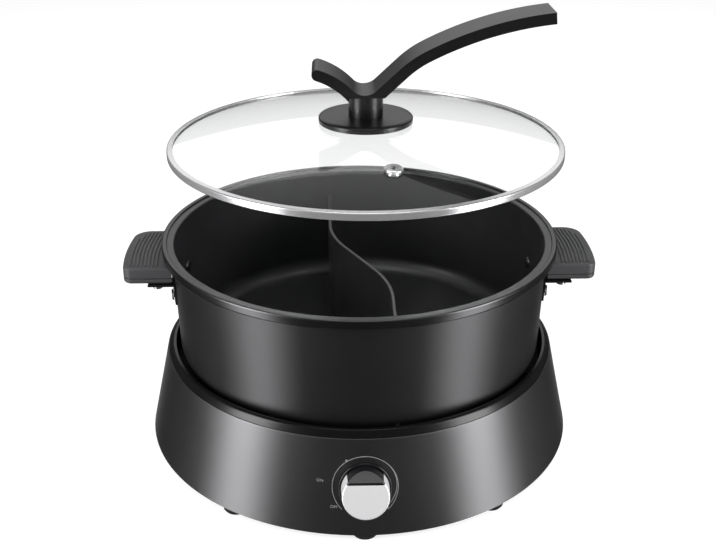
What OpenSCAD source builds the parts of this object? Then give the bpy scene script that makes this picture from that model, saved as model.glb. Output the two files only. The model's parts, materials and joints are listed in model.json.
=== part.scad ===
// Electric hot pot: a conical heated base, a lift-out divided pot and a
// lift-off glass lid, shown raised above the pot.
// Millimetres. Z is up, the table is z = 0, the dial faces -Y, and the
// origin is on the pot's axis at table height.

/* [Pot] */
// Outer radius of the pot wall just under its rim
pot_r = 152.8; // [140:0.1:165]
// How much narrower the wall is where it meets the bottom corner
pot_taper = 3.1; // [1:0.1:6]
// Height of the pot from its underside to the top of its rim
pot_h = 104.2; // [90:0.1:125]
// Thickness of the pot's wall and floor
pot_wall = 2.8; // [2:0.1:4]
// Outer radius of the corner between wall and floor
pot_corner_r = 14; // [8:0.5:20]
// How far the rolled rim stands out from the wall
rim_w = 7.2; // [5:0.1:10]
// Height of the rolled rim
rim_h = 7.2; // [5:0.1:10]
// How deep the lid's seat lies below the top of the rim
seat_drop = 1.4; // [0.8:0.1:3]

/* [Divider] */
// How far each end of the S-shaped wall stands from the middle
divider_offset = 24; // [10:1:40]
// Angle of the slanted middle stretch
divider_angle = 27; // [15:1:40]
// Radius of the two bends
divider_bend_r = 110; // [60:1:130]
// Thickness of the divider
divider_t = 3; // [2:0.1:5]
// How far the divider's top lies below the rim
divider_drop = 24.2; // [10:0.1:45]

/* [Pot handles] */
// How far a handle stands out beyond the rim
grip_reach = 31; // [20:0.5:40]
// Length of a handle, front to back
grip_len = 78; // [60:1:100]
// Thickness of a handle
grip_t = 14; // [10:0.5:18]
// How far the handle's top lies below the rim's top
grip_drop = 14.2; // [10:0.1:20]
// Radius of the handle's front outer corner
grip_front_r = 6; // [3:0.5:15]
// Radius of the handle's rear outer corner
grip_rear_r = 14; // [6:0.5:20]
// Number of grooves along the handle's top
groove_count = 8; // [4:1:9]
// Distance between two grooves
groove_pitch = 3; // [2.4:0.1:3.2]
// Width of a groove
groove_w = 1.2; // [0.8:0.1:1.6]
// Depth of a groove
groove_d = 0.8; // [0.4:0.1:1.5]
// Radius of the finger scoop under a handle
scoop_r = 20; // [16:0.5:26]
// Depth of the finger scoop
scoop_d = 3; // [1.5:0.1:4]
// Thickness of the steel handle bracket
bracket_t = 1.6; // [1:0.1:2.5]
// Height of the bracket's legs below the grip
bracket_leg_h = 20; // [14:0.5:26]
// Radius of a rivet's shank
rivet_r = 2.4; // [1.8:0.1:3]

/* [Lid] */
// How far the lid is shown lifted above its seat
lid_raise = 73.1; // [20:0.1:120]
// How far the raised lid is shown to the right of the pot's axis
lid_shift = 5; // [0:0.5:12]
// Radial play between the lid's steel band and the rim's lip
lid_play = 0.5; // [0.4:0.1:1.5]
// Height of the steel band
band_h = 5.2; // [4.6:0.1:8]
// Width of the steel band
band_w = 4.4; // [3:0.1:7]
// Thickness of the band's sheet
band_t = 0.6; // [0.4:0.1:0.7]
// Thickness of the glass
glass_t = 3.8; // [3:0.1:3.9]
// Rise of the glass dome from its edge to its middle
dome_rise = 17.5; // [8:0.5:30]
// Distance from the lid's axis to the steam vent
vent_dist = 97; // [70:1:125]
// Angle of the steam vent to the right of the front
vent_angle = 10; // [-40:1:40]
// Radius of the vent's bore
vent_bore_r = 3; // [1.5:0.1:4]
// Radius of the vent's flange
vent_flange_r = 6.8; // [5.6:0.1:9]

/* [Lid handle] */
// Radius of the black disc under the handle
disc_r = 37; // [28:0.5:50]
// Thickness of the disc above its gasket
disc_t = 3.1; // [2:0.1:5]
// Radius of the round column
column_r = 13.5; // [10:0.5:18]
// Height of the column above the disc
column_h = 19.5; // [14:0.5:30]
// Width of the handle's bars, front to back
bar_w = 36.5; // [26:0.5:44]
// Thickness of the handle's bars
bar_t = 8.6; // [6:0.1:11]
// Steepness of the long limb where it leaves the column
long_root_angle = 43; // [35:1:50]
// Length of the long limb's straight root
long_root_len = 33; // [26:0.5:45]
// Radius of the long limb's first bend
long_bend_r = 80; // [50:1:120]
// Steepness of the long limb after its first bend
long_mid_angle = 27; // [20:1:34]
// Radius of the long limb's outer stretch
long_outer_r = 270; // [180:5:400]
// Steepness of the long limb at its tip
long_tip_angle = 6; // [0:1:12]
// Steepness of the short limb where it leaves the column
short_root_angle = 50; // [40:1:58]
// Length of the short limb's straight root
short_root_len = 9; // [4:0.5:14]
// Radius of the short limb's bend
short_bend_r = 60; // [40:1:90]
// Steepness of the short limb at its tip
short_tip_angle = 18; // [8:1:30]

/* [Base housing] */
// Height of the rubber feet
foot_h = 6; // [4:0.5:12]
// Radius of a rubber foot
foot_r = 10.5; // [8:0.5:13]
// Height of the conical wall
base_h = 70; // [66:0.5:90]
// How much wider the cone is at its lower edge
base_flare = 16; // [8:0.5:24]
// Thickness of the housing's walls
shell_t = 2.5; // [2:0.1:3]
// Width of the top ring
ring_w = 8; // [7:0.1:14]
// Height of the top ring above the cone
ring_h = 8.4; // [6:0.1:14]
// Gap between the pot and the top ring
recess_gap = 4.4; // [2:0.1:10]
// How deep the pot sits below the top of the ring
pot_sink = 14.4; // [8:0.1:18]
// Thickness of the bottom cover
cover_t = 2; // [1.5:0.1:3]
// Radius of a screw post
post_r = 4.5; // [4:0.1:6]

/* [Heating] */
// Radius of the heating plate
plate_r = 90; // [80:0.5:100]
// Thickness of the heating plate
plate_t = 8; // [6:0.5:12]
// Height of the rim under the heating plate
plate_rim_h = 4.5; // [3:0.1:6]
// Thickness of the steel tray
tray_t = 1.2; // [0.8:0.1:1.6]
// Depth of the tray's step below its flange
tray_step = 6.5; // [4:0.1:8]
// Radius of the heating element's loop
loop_r = 66; // [55:0.5:72]
// Radius of the heating element's tube
tube_r = 4; // [3:0.1:5]
// Depth of the heat shield
shield_depth = 10; // [8:0.5:14]
// How far the heat shield reaches beyond the heating plate
shield_reach = 10; // [8:0.5:20]
// Radius of the temperature sensor's bulb
bulb_r = 3; // [2:0.1:3.4]
// Length of the temperature sensor's bulb
bulb_len = 54; // [30:1:60]

/* [Dial] */
// How far the dial's centre lies below the cone's upper edge
dial_drop = 33.5; // [31:0.5:38]
// Radius of the knob
knob_r = 17.7; // [14:0.1:18.5]
// How far the knob stands out from the cone
knob_h = 18; // [14:0.5:26]
// How far above its middle the knob's pointer facet starts
facet_start = 11.5; // [9:0.5:13]
// Slope of the pointer facet
facet_angle = 52; // [40:1:65]
// Thickness of the black pointer on the facet
pointer_t = 1.5; // [0.8:0.1:2.5]
// Radius of the bezel behind the knob
bezel_r = 19.5; // [18:0.1:20]
// Radius of the thermostat's shaft
shaft_r = 3; // [2.5:0.1:3.5]
// Width of the thermostat
stat_w = 36; // [28:1:44]
// Height of the thermostat
stat_h = 34; // [26:1:36]
// Depth of the thermostat
stat_depth = 27; // [20:1:32]

/* [Power inlet] */
// How far the inlet's centre lies below the cone's upper edge
inlet_drop = 42; // [38:0.5:46]
// Width of the inlet housing
inlet_w = 44; // [38:0.5:50]
// Height of the inlet housing
inlet_h = 32; // [26:0.5:36]
// How far the inlet's face stands out from the cone
inlet_out = 19.3; // [16:0.1:24]
// Depth of the inlet housing
inlet_depth = 33; // [30:0.5:40]
// Width of the socket
socket_w = 28; // [24:0.5:32]
// Height of the socket
socket_h = 18; // [14:0.5:22]
// Depth of the socket
socket_depth = 20; // [16:0.5:24]

/* [Hidden] */

$fn = 64;
// Facets of the large round pieces
round_fn = 180;
// Play between two fixed pieces
fit = 0.1;
// Running play between the thermostat's shaft and its bores
shaft_play = 0.08;
// Gap between pieces of different bodies that rest on each other
seat_gap = 0.3;
// Extra length of a cut beyond the face that it opens
over = 1;

// ---- heights of the base ----
cone_z0 = foot_h;
cone_z1 = foot_h + base_h;
ring_top = cone_z1 + ring_h;
pot_z = ring_top - pot_sink;
plate_top = pot_z - seat_gap;
plate_under = plate_top - plate_t;
tray_floor_top = plate_under - plate_rim_h;
tray_floor = tray_floor_top - tray_t;
ledge_top = tray_floor + tray_step;
ledge_under = ledge_top - shell_t;
shield_floor = tray_floor - shield_depth;
cover_top = cone_z0 + cover_t;

// ---- radii of the base ----
// Outer radius of the pot's wall at a height above its underside
function wall_r(h) =
    pot_r - pot_taper * (pot_h - rim_h - h) / (pot_h - rim_h - pot_corner_r);
ring_inner_r = wall_r(pot_sink) + recess_gap;
skirt_t = 2.5;
recess_r = ring_inner_r + skirt_t + seat_gap;
recess_wall = 2.2;
cone_r1 = ring_inner_r + ring_w;
cone_r0 = cone_r1 + base_flare;
cone_angle = atan(base_flare / base_h);
// Outer radius of the cone at a height above the table
function cone_r(z) = cone_r0 - base_flare * (z - cone_z0) / base_h;
// Width of the ledge that carries the tray
ledge_w = 16.4;
// Play between the tray and the ledge
tray_play = 0.6;
ledge_inner_r = recess_r - ledge_w;
tray_wall_r = ledge_inner_r - tray_play;
post_ring_r = (ledge_inner_r + recess_r) / 2 - tray_play;
post_angles = [for (k = [0 : 5]) 30 + 60 * k];
cover_r = cone_r(cover_top) - shell_t - seat_gap;
// Distance from the feet to the cone's lower edge
foot_inset = 1;
foot_ring_r = cone_r0 - foot_r - foot_inset;
foot_angles = [0, 36, 144, 180, 216, 324];
foot_hole_r = 4;

// ---- heating ----
shield_r = plate_r + shield_reach;
shield_flange = 9;
shield_sheet = 0.8;
shield_screw_ring = shield_r + shield_flange / 2;
shield_screw_angles = [45, 135, 225, 315];
plate_rim_w = 5.5;
plate_seat_w = 6;
plate_screw_ring = plate_r - plate_rim_w / 2;
plate_screw_angles = [60, 180, 300];
plate_screw_len = 8;

// ---- screws ----
screw_r = 1.5;
screw_play = 0.15;
post_screw_depth = 18;
tray_screw_len = 12;
inlet_screw_len = 5;

// ---- dial frame ----
dial_z = cone_z1 - dial_drop;
bush_r = 4.5;
bezel_front = 1.6;
bezel_back = -3.95;
bezel_flange_t = 1.4;
bezel_flange_w = 1.5;
bezel_flange_r = bezel_r + bezel_flange_w;
bezel_edge = 0.6;
nut_t = 1.8;
nut_r = 7.5;
stat_front = bezel_back - bezel_flange_t - seat_gap;
// Running gap between the knob and the bezel
knob_gap = 0.5;
knob_base = bezel_front + knob_gap;
// Thickness of the knob's face over the shaft's tip
knob_face_t = 4;
shaft_tip = knob_h - knob_face_t;
// How far the shaft reaches into the thermostat
shaft_reach = 15;
shaft_end = stat_front - shaft_reach;

// ---- inlet ----
inlet_z = cone_z1 - inlet_drop;
inlet_face = cone_r(inlet_z) + inlet_out;
inlet_back = inlet_face - inlet_depth;
ear_w = 10;
ear_h = 12;
ear_t = 3;
inlet_boss_r = 4;
blade_x = 7;
blade_w = 2;
blade_h = 4;
blade_rise = 2.5;
blade_short = 5;
blade_tab = 8;

// ---- lid ----
seat_z = pot_z + pot_h - seat_drop;
lid_z = seat_z + seat_gap + lid_raise;
rim_r = pot_r + rim_w;
// Width of the rim's raised outer lip
lip_w = 4.1;
// Slope of the lip's inner face, as a width
lip_slope = 0.5;
lip_r = rim_r - lip_w;
band_r = lip_r - lid_play;
glass_r = band_r - band_t - fit;
glass_edge_top = band_h - band_t - fit;
dome_top = glass_edge_top + dome_rise;
dome_r = (glass_r * glass_r + dome_rise * dome_rise) / (2 * dome_rise);
// Height of the glass's upper face at a distance from the lid's axis
function dome_z(r) = dome_top - dome_r + sqrt(dome_r * dome_r - r * r);
gasket_t = 1;
gasket_r = 22;
// Gaps that the gaskets' squeeze leaves
gasket_gap = 0.05;
lower_gap = 0.2;
disc_under = dome_top + gasket_gap + gasket_t;
disc_top = disc_under + disc_t;
skirt_w = 4;
column_top = disc_top + column_h;
// How deep the handle's two limbs sit in the column's top
web_h = 1.5;
lid_screw_r = 2.45;
vent_wall = 1.1;
glass_hole_r = 4;
insert_r = 4;
insert_h = 14;
washer_r = 10;
glass_under = dome_top - glass_t;

// ---- grips ----
grip_top = pot_z + pot_h - grip_drop;
grip_under = grip_top - grip_t;
grip_face = rim_r + grip_reach;
bracket_gap = 0.1;
bracket_half_angle = 15;
leg_y = 27.5;
leg_w = 18;
bracket_low = grip_under - bracket_leg_h;
bracket_top = grip_top - 2;
plate_low = grip_under - 8;
tab_top = grip_under - fit;
tab_under = tab_top - bracket_t;
grip_screw_x = rim_r + 2;
grip_screw_y = grip_len / 2 - 5;
grip_screw_r = 1.9;
grip_roof = 3;
groove_margin = 4;
groove_front = 6;
groove_rear = 12;
scoop_shift = 3;
scoop_margin = 12;
rivet_rise = 5.5;
rivet_z = bracket_low + rivet_rise;
rivet_angle = asin(leg_y / wall_r(rivet_z - pot_z));
rivet_head_r = 5;
rivet_head_h = 1.5;
rivet_seat = 0.3;
// The rim's small cove, its round and its edges
rim_cove = 0.5;
rim_round = 1.6;
rim_edge_r = 0.8;
rim_edge_h = 1.2;
seat_edge = 1.4;

// ================= helpers =================

// Copies of the children round the Z axis, angles counted from the front
module round_array(angles, radius) {
    for (a = angles)
        rotate([0, 0, a])
            translate([0, -radius, 0])
                children();
}

// Children given in the dial's own frame: z outwards, y up the cone
module on_dial() {
    translate([0, -cone_r(dial_z), dial_z])
        rotate([90 - cone_angle, 0, 0])
            children();
}

// Children given in the lid's own frame: z from the band's underside
module on_lid() {
    translate([lid_shift, 0, lid_z])
        children();
}

// Screw with its head below z = 0 and its shank above
module screw(r, length, head_over = 1.5, head_h = 1.8) {
    head_edge = 0.5;
    cylinder(h = length, r = r);
    translate([0, 0, -head_h])
        cylinder(h = head_h, r1 = r + head_over - head_edge, r2 = r + head_over);
}

// Points of an arc about c, from angle a to angle b, in n steps
function arc(c, r, a, b, n) =
    [for (i = [0 : n]) c + r * [cos(a + (b - a) * i / n), sin(a + (b - a) * i / n)]];

// Tube of eight sides swept along a list of points
function unit(v) = v / norm(v);
function heading(p, i) =
    i == 0 ? unit(p[1] - p[0]) :
    i == len(p) - 1 ? unit(p[i] - p[i - 1]) :
    unit(unit(p[i] - p[i - 1]) + unit(p[i + 1] - p[i]));
// A side direction carried along the route without turning about it
function side(p, i) =
    let (t = heading(p, i),
         s = i == 0 ? unit(cross(t, abs(t[2]) < 0.9 ? [0, 0, 1] : [1, 0, 0])) : side(p, i - 1))
    unit(s - (s * t) * t);
function ring_points(p, i, r) =
    let (t = heading(p, i), s = side(p, i), u = cross(t, s))
    [for (k = [0 : 7]) p[i] + r * (cos(45 * k) * s + sin(45 * k) * u)];
module tube(p, r) {
    n = len(p);
    points = [for (i = [0 : n - 1]) each ring_points(p, i, r)];
    walls = [for (i = [0 : n - 2], k = [0 : 7])
        each [[8 * i + k, 8 * i + (k + 1) % 8, 8 * i + 8 + k],
              [8 * i + (k + 1) % 8, 8 * i + 8 + (k + 1) % 8, 8 * i + 8 + k]]];
    start = [for (k = [1 : 6]) [0, k + 1, k]];
    end = [for (k = [1 : 6]) [8 * n - 8, 8 * n - 8 + k, 8 * n - 8 + k + 1]];
    polyhedron(points = points, faces = concat(walls, start, end));
}

// ================= base housing =================

module base_shell() {
    color([0.10, 0.10, 0.11])
    difference() {
        union() {
            rotate_extrude($fn = round_fn)
                polygon([
                    [cone_r0, cone_z0],
                    [cone_r1, cone_z1],
                    [recess_r, cone_z1],
                    [recess_r, ledge_top],
                    [ledge_inner_r, ledge_top],
                    [ledge_inner_r, ledge_under],
                    [recess_r + recess_wall, ledge_under],
                    [recess_r + recess_wall, cone_z1 - shell_t],
                    [cone_r(cone_z1 - shell_t) - shell_t, cone_z1 - shell_t],
                    [cone_r0 - shell_t, cone_z0]
                ]);
            round_array(post_angles, post_ring_r)
                translate([0, 0, cover_top])
                    cylinder(h = ledge_top - cover_top - fit, r = post_r);
            inlet_bosses();
        }
        round_array(post_angles, post_ring_r) {
            translate([0, 0, cover_top - over])
                cylinder(h = post_screw_depth + 2 * over, r = screw_r + screw_play, $fn = 32);
            translate([0, 0, ledge_top - post_screw_depth])
                cylinder(h = post_screw_depth + over, r = screw_r + screw_play, $fn = 32);
        }
        on_dial()
            translate([0, 0, bezel_back - over])
                cylinder(h = bezel_front - bezel_back + 2 * over, r = bezel_r + fit, $fn = 96);
        translate([-inlet_w / 2 - fit, inlet_back + ear_t + fit, inlet_z - inlet_h / 2 - fit])
            cube([inlet_w + 2 * fit, inlet_face, inlet_h + 2 * fit]);
        inlet_screw_places()
            translate([0, 0, -over])
                cylinder(h = inlet_screw_len + 2 * over, r = screw_r, $fn = 32);
    }
}

// Frames at the two inlet screws, on the ears' outer faces, z outwards
module inlet_screw_places() {
    for (s = [-1, 1])
        translate([s * (inlet_w / 2 + ear_w / 2), inlet_back + ear_t, inlet_z])
            rotate([-90, 0, 0])
                children();
}

// Bosses on the housing's inner wall that take the inlet's screws
module inlet_bosses() {
    reach = sqrt(pow(cone_r(inlet_z + inlet_boss_r), 2) - pow(inlet_w / 2 + ear_w, 2))
        - shell_t / 2;
    inlet_screw_places()
        translate([0, 0, fit])
            cylinder(h = reach - inlet_back - ear_t - fit, r = inlet_boss_r);
}

module top_ring() {
    edge = 0.6;
    shadow_line = 0.8;
    crest_w = 2.4;
    shoulder_w = 3.6;
    color([0.13, 0.13, 0.14])
    rotate_extrude($fn = round_fn)
        polygon([
            [cone_r1, cone_z1],
            [cone_r1 - fit, cone_z1 + shadow_line],
            [ring_inner_r + shoulder_w, ring_top - edge - seat_gap],
            [ring_inner_r + crest_w, ring_top - fit],
            [ring_inner_r + edge, ring_top],
            [ring_inner_r, ring_top - edge],
            [ring_inner_r, ledge_top + tray_t + seat_gap],
            [ring_inner_r + skirt_t, ledge_top + tray_t + seat_gap],
            [ring_inner_r + skirt_t, cone_z1]
        ]);
}

module bottom_cover() {
    slot_r = 110;
    slot_len = 24;
    slot_w = 3;
    color([0.16, 0.16, 0.17])
    difference() {
        translate([0, 0, cone_z0])
            cylinder(h = cover_t, r = cover_r, $fn = round_fn);
        round_array([for (k = [0 : 23]) 15 * k], slot_r)
            translate([-slot_w / 2, -slot_len / 2, cone_z0 - over])
                cube([slot_w, slot_len, cover_t + 2 * over]);
        round_array(post_angles, post_ring_r)
            translate([0, 0, cone_z0 - over])
                cylinder(h = cover_t + 2 * over, r = screw_r + 2 * screw_play, $fn = 32);
        round_array(foot_angles, foot_ring_r)
            translate([0, 0, cone_z0 - over])
                cylinder(h = cover_t + 2 * over, r = foot_hole_r, $fn = 32);
    }
}

module cover_screws() {
    color([0.7, 0.7, 0.72])
    round_array(post_angles, post_ring_r)
        translate([0, 0, cone_z0])
            screw(screw_r, post_screw_depth);
}

module feet() {
    stub_r = foot_hole_r - fit;
    barb_w = 1;
    barb_h = 2;
    tread_edge = 1.5;
    color([0.06, 0.06, 0.06])
    round_array(foot_angles, foot_ring_r)
        rotate_extrude()
            polygon([
                [0, 0],
                [foot_r - tread_edge, 0],
                [foot_r - tread_edge / 4, tread_edge],
                [foot_r, foot_h],
                [stub_r, foot_h],
                [stub_r, cover_top],
                [stub_r + barb_w, cover_top],
                [stub_r - barb_w, cover_top + barb_h],
                [0, cover_top + barb_h]
            ]);
}

// ================= heating =================

module heat_tray() {
    tray_r = recess_r - tray_play;
    color([0.55, 0.55, 0.56])
    difference() {
        rotate_extrude($fn = round_fn)
            polygon([
                [tray_r, ledge_top],
                [tray_r, ledge_top + tray_t],
                [tray_wall_r - tray_t, ledge_top + tray_t],
                [tray_wall_r - tray_t, tray_floor_top],
                [plate_r - plate_seat_w, tray_floor_top],
                [plate_r - plate_seat_w, tray_floor],
                [tray_wall_r, tray_floor],
                [tray_wall_r, ledge_top]
            ]);
        round_array(post_angles, post_ring_r)
            translate([0, 0, ledge_top - over])
                cylinder(h = tray_t + 2 * over, r = screw_r + screw_play, $fn = 32);
        round_array(plate_screw_angles, plate_screw_ring)
            translate([0, 0, tray_floor - over])
                cylinder(h = tray_t + 2 * over, r = screw_r + screw_play, $fn = 32);
        round_array(shield_screw_angles, shield_screw_ring)
            translate([0, 0, tray_floor - over])
                cylinder(h = tray_t + 2 * over, r = screw_r + screw_play, $fn = 32);
    }
}

module tray_screws() {
    color([0.7, 0.7, 0.72])
    round_array(post_angles, post_ring_r)
        translate([0, 0, ledge_top + tray_t])
            rotate([180, 0, 0])
                screw(screw_r, tray_screw_len);
}

module heating_plate() {
    plate_edge = 1.5;
    color([0.62, 0.63, 0.64])
    difference() {
        rotate_extrude($fn = round_fn)
            polygon([
                [0, plate_under],
                [0, plate_top],
                [plate_r - plate_edge, plate_top],
                [plate_r, plate_top - plate_edge],
                [plate_r, tray_floor_top],
                [plate_r - plate_rim_w, tray_floor_top],
                [plate_r - plate_rim_w, plate_under]
            ]);
        rotate_extrude($fn = round_fn)
            translate([loop_r, plate_under])
                circle(r = tube_r + fit, $fn = 48);
        round_array(plate_screw_angles, plate_screw_ring)
            translate([0, 0, tray_floor_top - over])
                cylinder(h = plate_screw_len + over, r = screw_r, $fn = 32);
    }
}

module plate_screws() {
    color([0.7, 0.7, 0.72])
    round_array(plate_screw_angles, plate_screw_ring)
        translate([0, 0, tray_floor])
            screw(screw_r - fit, plate_screw_len);
}

// Half the angle of the gap in the element's loop, at the front
loop_gap = 15;
// The element's cold tails go down just inside the ends of its loop
tail_angle = loop_gap + 3.5;
tail_taper = 0.8;
tail_r = tube_r - tail_taper;
pin_r = 1.5;
tail_x = loop_r * sin(tail_angle);
tail_y = -loop_r * cos(tail_angle);
tail_out = 1.5;
pin_out = 2.5;
tail_end = shield_floor - tail_out;
pin_end = tail_end - pin_out;
bush_wall = 2;
bush_outer_r = tail_r + bush_wall;

module heating_element() {
    color([0.35, 0.34, 0.33])
    union() {
        translate([0, 0, plate_under])
            rotate([0, 0, loop_gap - 90])
                rotate_extrude(angle = 360 - 2 * loop_gap, $fn = round_fn)
                    translate([loop_r, 0])
                        circle(r = tube_r, $fn = 48);
        for (s = [-1, 1])
            translate([s * tail_x, tail_y, 0]) {
                translate([0, 0, tail_end])
                    cylinder(h = plate_under - tail_end, r = tail_r);
                translate([0, 0, pin_end])
                    cylinder(h = tail_end - pin_end + over, r = pin_r, $fn = 32);
            }
    }
}

module element_bushes() {
    collar_z = shield_floor + shield_sheet;
    collar_h = 1.6;
    color([0.9, 0.88, 0.82])
    for (s = [-1, 1])
        translate([s * tail_x, tail_y, 0])
            rotate_extrude()
                polygon([
                    [tail_r + fit, shield_floor - tail_out + seat_gap],
                    [bush_outer_r, shield_floor - tail_out + seat_gap],
                    [bush_outer_r, collar_z],
                    [bush_outer_r + bush_wall, collar_z],
                    [bush_outer_r + bush_wall, collar_z + collar_h],
                    [tail_r + fit, collar_z + collar_h]
                ]);
}

module heat_shield() {
    sheet = shield_sheet;
    notch_w = 48;
    color([0.72, 0.72, 0.73])
    difference() {
        rotate_extrude($fn = round_fn)
            polygon([
                [0, shield_floor],
                [shield_r, shield_floor],
                [shield_r, tray_floor - sheet],
                [shield_r + shield_flange, tray_floor - sheet],
                [shield_r + shield_flange, tray_floor],
                [shield_r - sheet, tray_floor],
                [shield_r - sheet, shield_floor + sheet],
                [0, shield_floor + sheet]
            ]);
        translate([-notch_w / 2, -shield_r - notch_w / 2, shield_floor + 2 * sheet])
            cube([notch_w, notch_w, shield_depth]);
        for (s = [-1, 1])
            translate([s * tail_x, tail_y, shield_floor - over])
                cylinder(h = sheet + 2 * over, r = bush_outer_r + fit);
        round_array(shield_screw_angles, shield_screw_ring)
            translate([0, 0, tray_floor - sheet - over])
                cylinder(h = sheet + 2 * over, r = screw_r + screw_play, $fn = 32);
    }
}

module shield_screws() {
    color([0.7, 0.7, 0.72])
    round_array(shield_screw_angles, shield_screw_ring)
        translate([0, 0, tray_floor - shield_sheet])
            screw(screw_r, tray_t + 3 * shield_sheet);
}

// ---- temperature sensor: bulb under the plate, capillary to the thermostat ----
bulb_z = plate_under - bulb_r - 2 * fit;
bulb_ahead = 10;
bulb_front = tail_y - bulb_ahead;
cap_r = 0.9;
cap_bend = 4;
cap_start = bulb_front - over;
cap_z = bulb_z - 2 * cap_bend;
stat_back = stat_front - stat_depth;
// Where the thermostat's rear face is at a height above the table
function stat_rear_y(z) = -cone_r(dial_z) - stat_back * cos(cone_angle)
    + tan(cone_angle) * (z - dial_z - stat_back * sin(cone_angle));

module sensor_bulb() {
    color([0.78, 0.55, 0.38])
    translate([0, bulb_front + bulb_len, bulb_z])
        rotate([90, 0, 0])
            cylinder(h = bulb_len, r = bulb_r, $fn = 48);
}

module capillary() {
    cap_end_y = stat_rear_y(cap_z) + seat_gap;
    route = concat(
        [[0, bulb_front - fit, bulb_z]],
        [for (a = [0 : 30 : 90])
            [0, cap_start - cap_bend * sin(a), bulb_z - cap_bend * (1 - cos(a))]],
        [for (a = [60 : -30 : 0])
            [0, cap_start - cap_bend * (2 - sin(a)), cap_z + cap_bend * (1 - cos(a))]],
        [[0, (cap_start - 2 * cap_bend + cap_end_y) / 2, cap_z], [0, cap_end_y, cap_z]]
    );
    color([0.78, 0.55, 0.38])
    tube(route, cap_r);
}

module bulb_clip() {
    clip_w = 18;
    clip_len = 8;
    clip_t = 1.2;
    color([0.72, 0.72, 0.73])
    difference() {
        translate([-clip_w / 2, bulb_front + bulb_len / 2, bulb_z - bulb_r - clip_t])
            cube([clip_w, clip_len, plate_under - bulb_z + bulb_r + clip_t]);
        translate([0, bulb_front + bulb_len / 2 - over, bulb_z])
            rotate([-90, 0, 0])
                cylinder(h = clip_len + 2 * over, r = bulb_r + fit, $fn = 48);
        translate([-bulb_r - fit, bulb_front + bulb_len / 2 - over, bulb_z])
            cube([2 * (bulb_r + fit), clip_len + 2 * over, bulb_r + over]);
    }
}

// ================= dial =================

module thermostat_body() {
    color([0.82, 0.80, 0.74])
    on_dial()
        difference() {
            translate([-stat_w / 2, -stat_h / 2, stat_back])
                cube([stat_w, stat_h, stat_depth]);
            translate([0, 0, shaft_end - seat_gap])
                cylinder(h = stat_front - shaft_end + 2 * over, r = shaft_r + shaft_play);
        }
}

module thermostat_bush() {
    color([0.80, 0.78, 0.55])
    on_dial()
        difference() {
            translate([0, 0, stat_front])
                cylinder(h = bezel_front + nut_t - stat_front, r = bush_r);
            translate([0, 0, stat_front - over])
                cylinder(h = bezel_front + nut_t - stat_front + 2 * over, r = shaft_r + shaft_play);
        }
}

module thermostat_nut() {
    color([0.80, 0.80, 0.82])
    on_dial()
        difference() {
            translate([0, 0, bezel_front])
                cylinder(h = nut_t, r = nut_r, $fn = 6);
            translate([0, 0, bezel_front - over])
                cylinder(h = nut_t + 2 * over, r = bush_r + fit);
        }
}

module dial_bezel() {
    color([0.05, 0.05, 0.05])
    on_dial()
        rotate_extrude($fn = 96)
            polygon([
                [bush_r + fit, bezel_back - bezel_flange_t],
                [bezel_flange_r, bezel_back - bezel_flange_t],
                [bezel_flange_r, bezel_back],
                [bezel_r, bezel_back],
                [bezel_r, bezel_front - bezel_edge],
                [bezel_r - bezel_edge, bezel_front],
                [bush_r + fit, bezel_front]
            ]);
}

module thermostat_shaft() {
    color([0.75, 0.75, 0.77])
    on_dial()
        translate([0, 0, shaft_end])
            cylinder(h = shaft_tip - shaft_end, r = shaft_r);
}

// The knob's solid before its pointer facet is cut
module knob_blank() {
    wall = 4.7;
    hub_r = 6;
    cavity_h = 6;
    taper = 0.5;
    edge_w = 0.9;
    edge_h = 1;
    difference() {
        rotate_extrude($fn = 96)
            polygon([
                [0, knob_base],
                [knob_r, knob_base],
                [knob_r, knob_base + 2 * edge_h],
                [knob_r - taper, knob_h - edge_h],
                [knob_r - taper - edge_w, knob_h],
                [0, knob_h]
            ]);
        difference() {
            translate([0, 0, knob_base - over])
                cylinder(h = cavity_h + over, r = knob_r - wall);
            translate([0, 0, bezel_front + nut_t + over])
                cylinder(h = cavity_h + over, r = hub_r);
        }
        translate([0, 0, knob_base])
            cylinder(h = shaft_tip - knob_base + seat_gap, r = shaft_r + fit / 2);
    }
}

// Everything beyond the pointer facet's plane, moved inwards by depth
module beyond_facet(depth) {
    size = 4 * knob_r;
    translate([0, facet_start, knob_h])
        rotate([-facet_angle, 0, 0])
            translate([-size / 2, 0, -depth])
                cube([size, size, size]);
}

module dial_knob() {
    color([0.86, 0.86, 0.87])
    on_dial()
        difference() {
            knob_blank();
            beyond_facet(pointer_t);
        }
}

module dial_pointer() {
    color([0.05, 0.05, 0.05])
    on_dial()
        difference() {
            intersection() {
                knob_blank();
                beyond_facet(pointer_t);
            }
            beyond_facet(0);
        }
}

// ================= power inlet =================

module inlet_housing() {
    color([0.07, 0.07, 0.07])
    difference() {
        union() {
            translate([-inlet_w / 2, inlet_back, inlet_z - inlet_h / 2])
                cube([inlet_w, inlet_depth, inlet_h]);
            translate([-inlet_w / 2 - ear_w, inlet_back, inlet_z - ear_h / 2])
                cube([inlet_w + 2 * ear_w, ear_t, ear_h]);
        }
        translate([-socket_w / 2, inlet_face - socket_depth, inlet_z - socket_h / 2])
            cube([socket_w, socket_depth + over, socket_h]);
        inlet_blades(fit, inlet_back - over, inlet_face - socket_depth + over);
        inlet_screw_places()
            translate([0, 0, -ear_t - over])
                cylinder(h = ear_t + 2 * over, r = screw_r + screw_play, $fn = 32);
    }
}

// The three blades, made thicker all round by extra, between two depths
module inlet_blades(extra, y0, y1) {
    for (k = [-1, 0, 1])
        translate([
            k * blade_x - blade_w / 2 - extra,
            y0,
            inlet_z + (k == 0 ? -blade_rise : blade_rise) - blade_h / 2 - extra
        ])
            cube([blade_w + 2 * extra, y1 - y0, blade_h + 2 * extra]);
}

module inlet_pins() {
    color([0.85, 0.80, 0.60])
    inlet_blades(0, inlet_back - blade_tab, inlet_face - blade_short);
}

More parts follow.
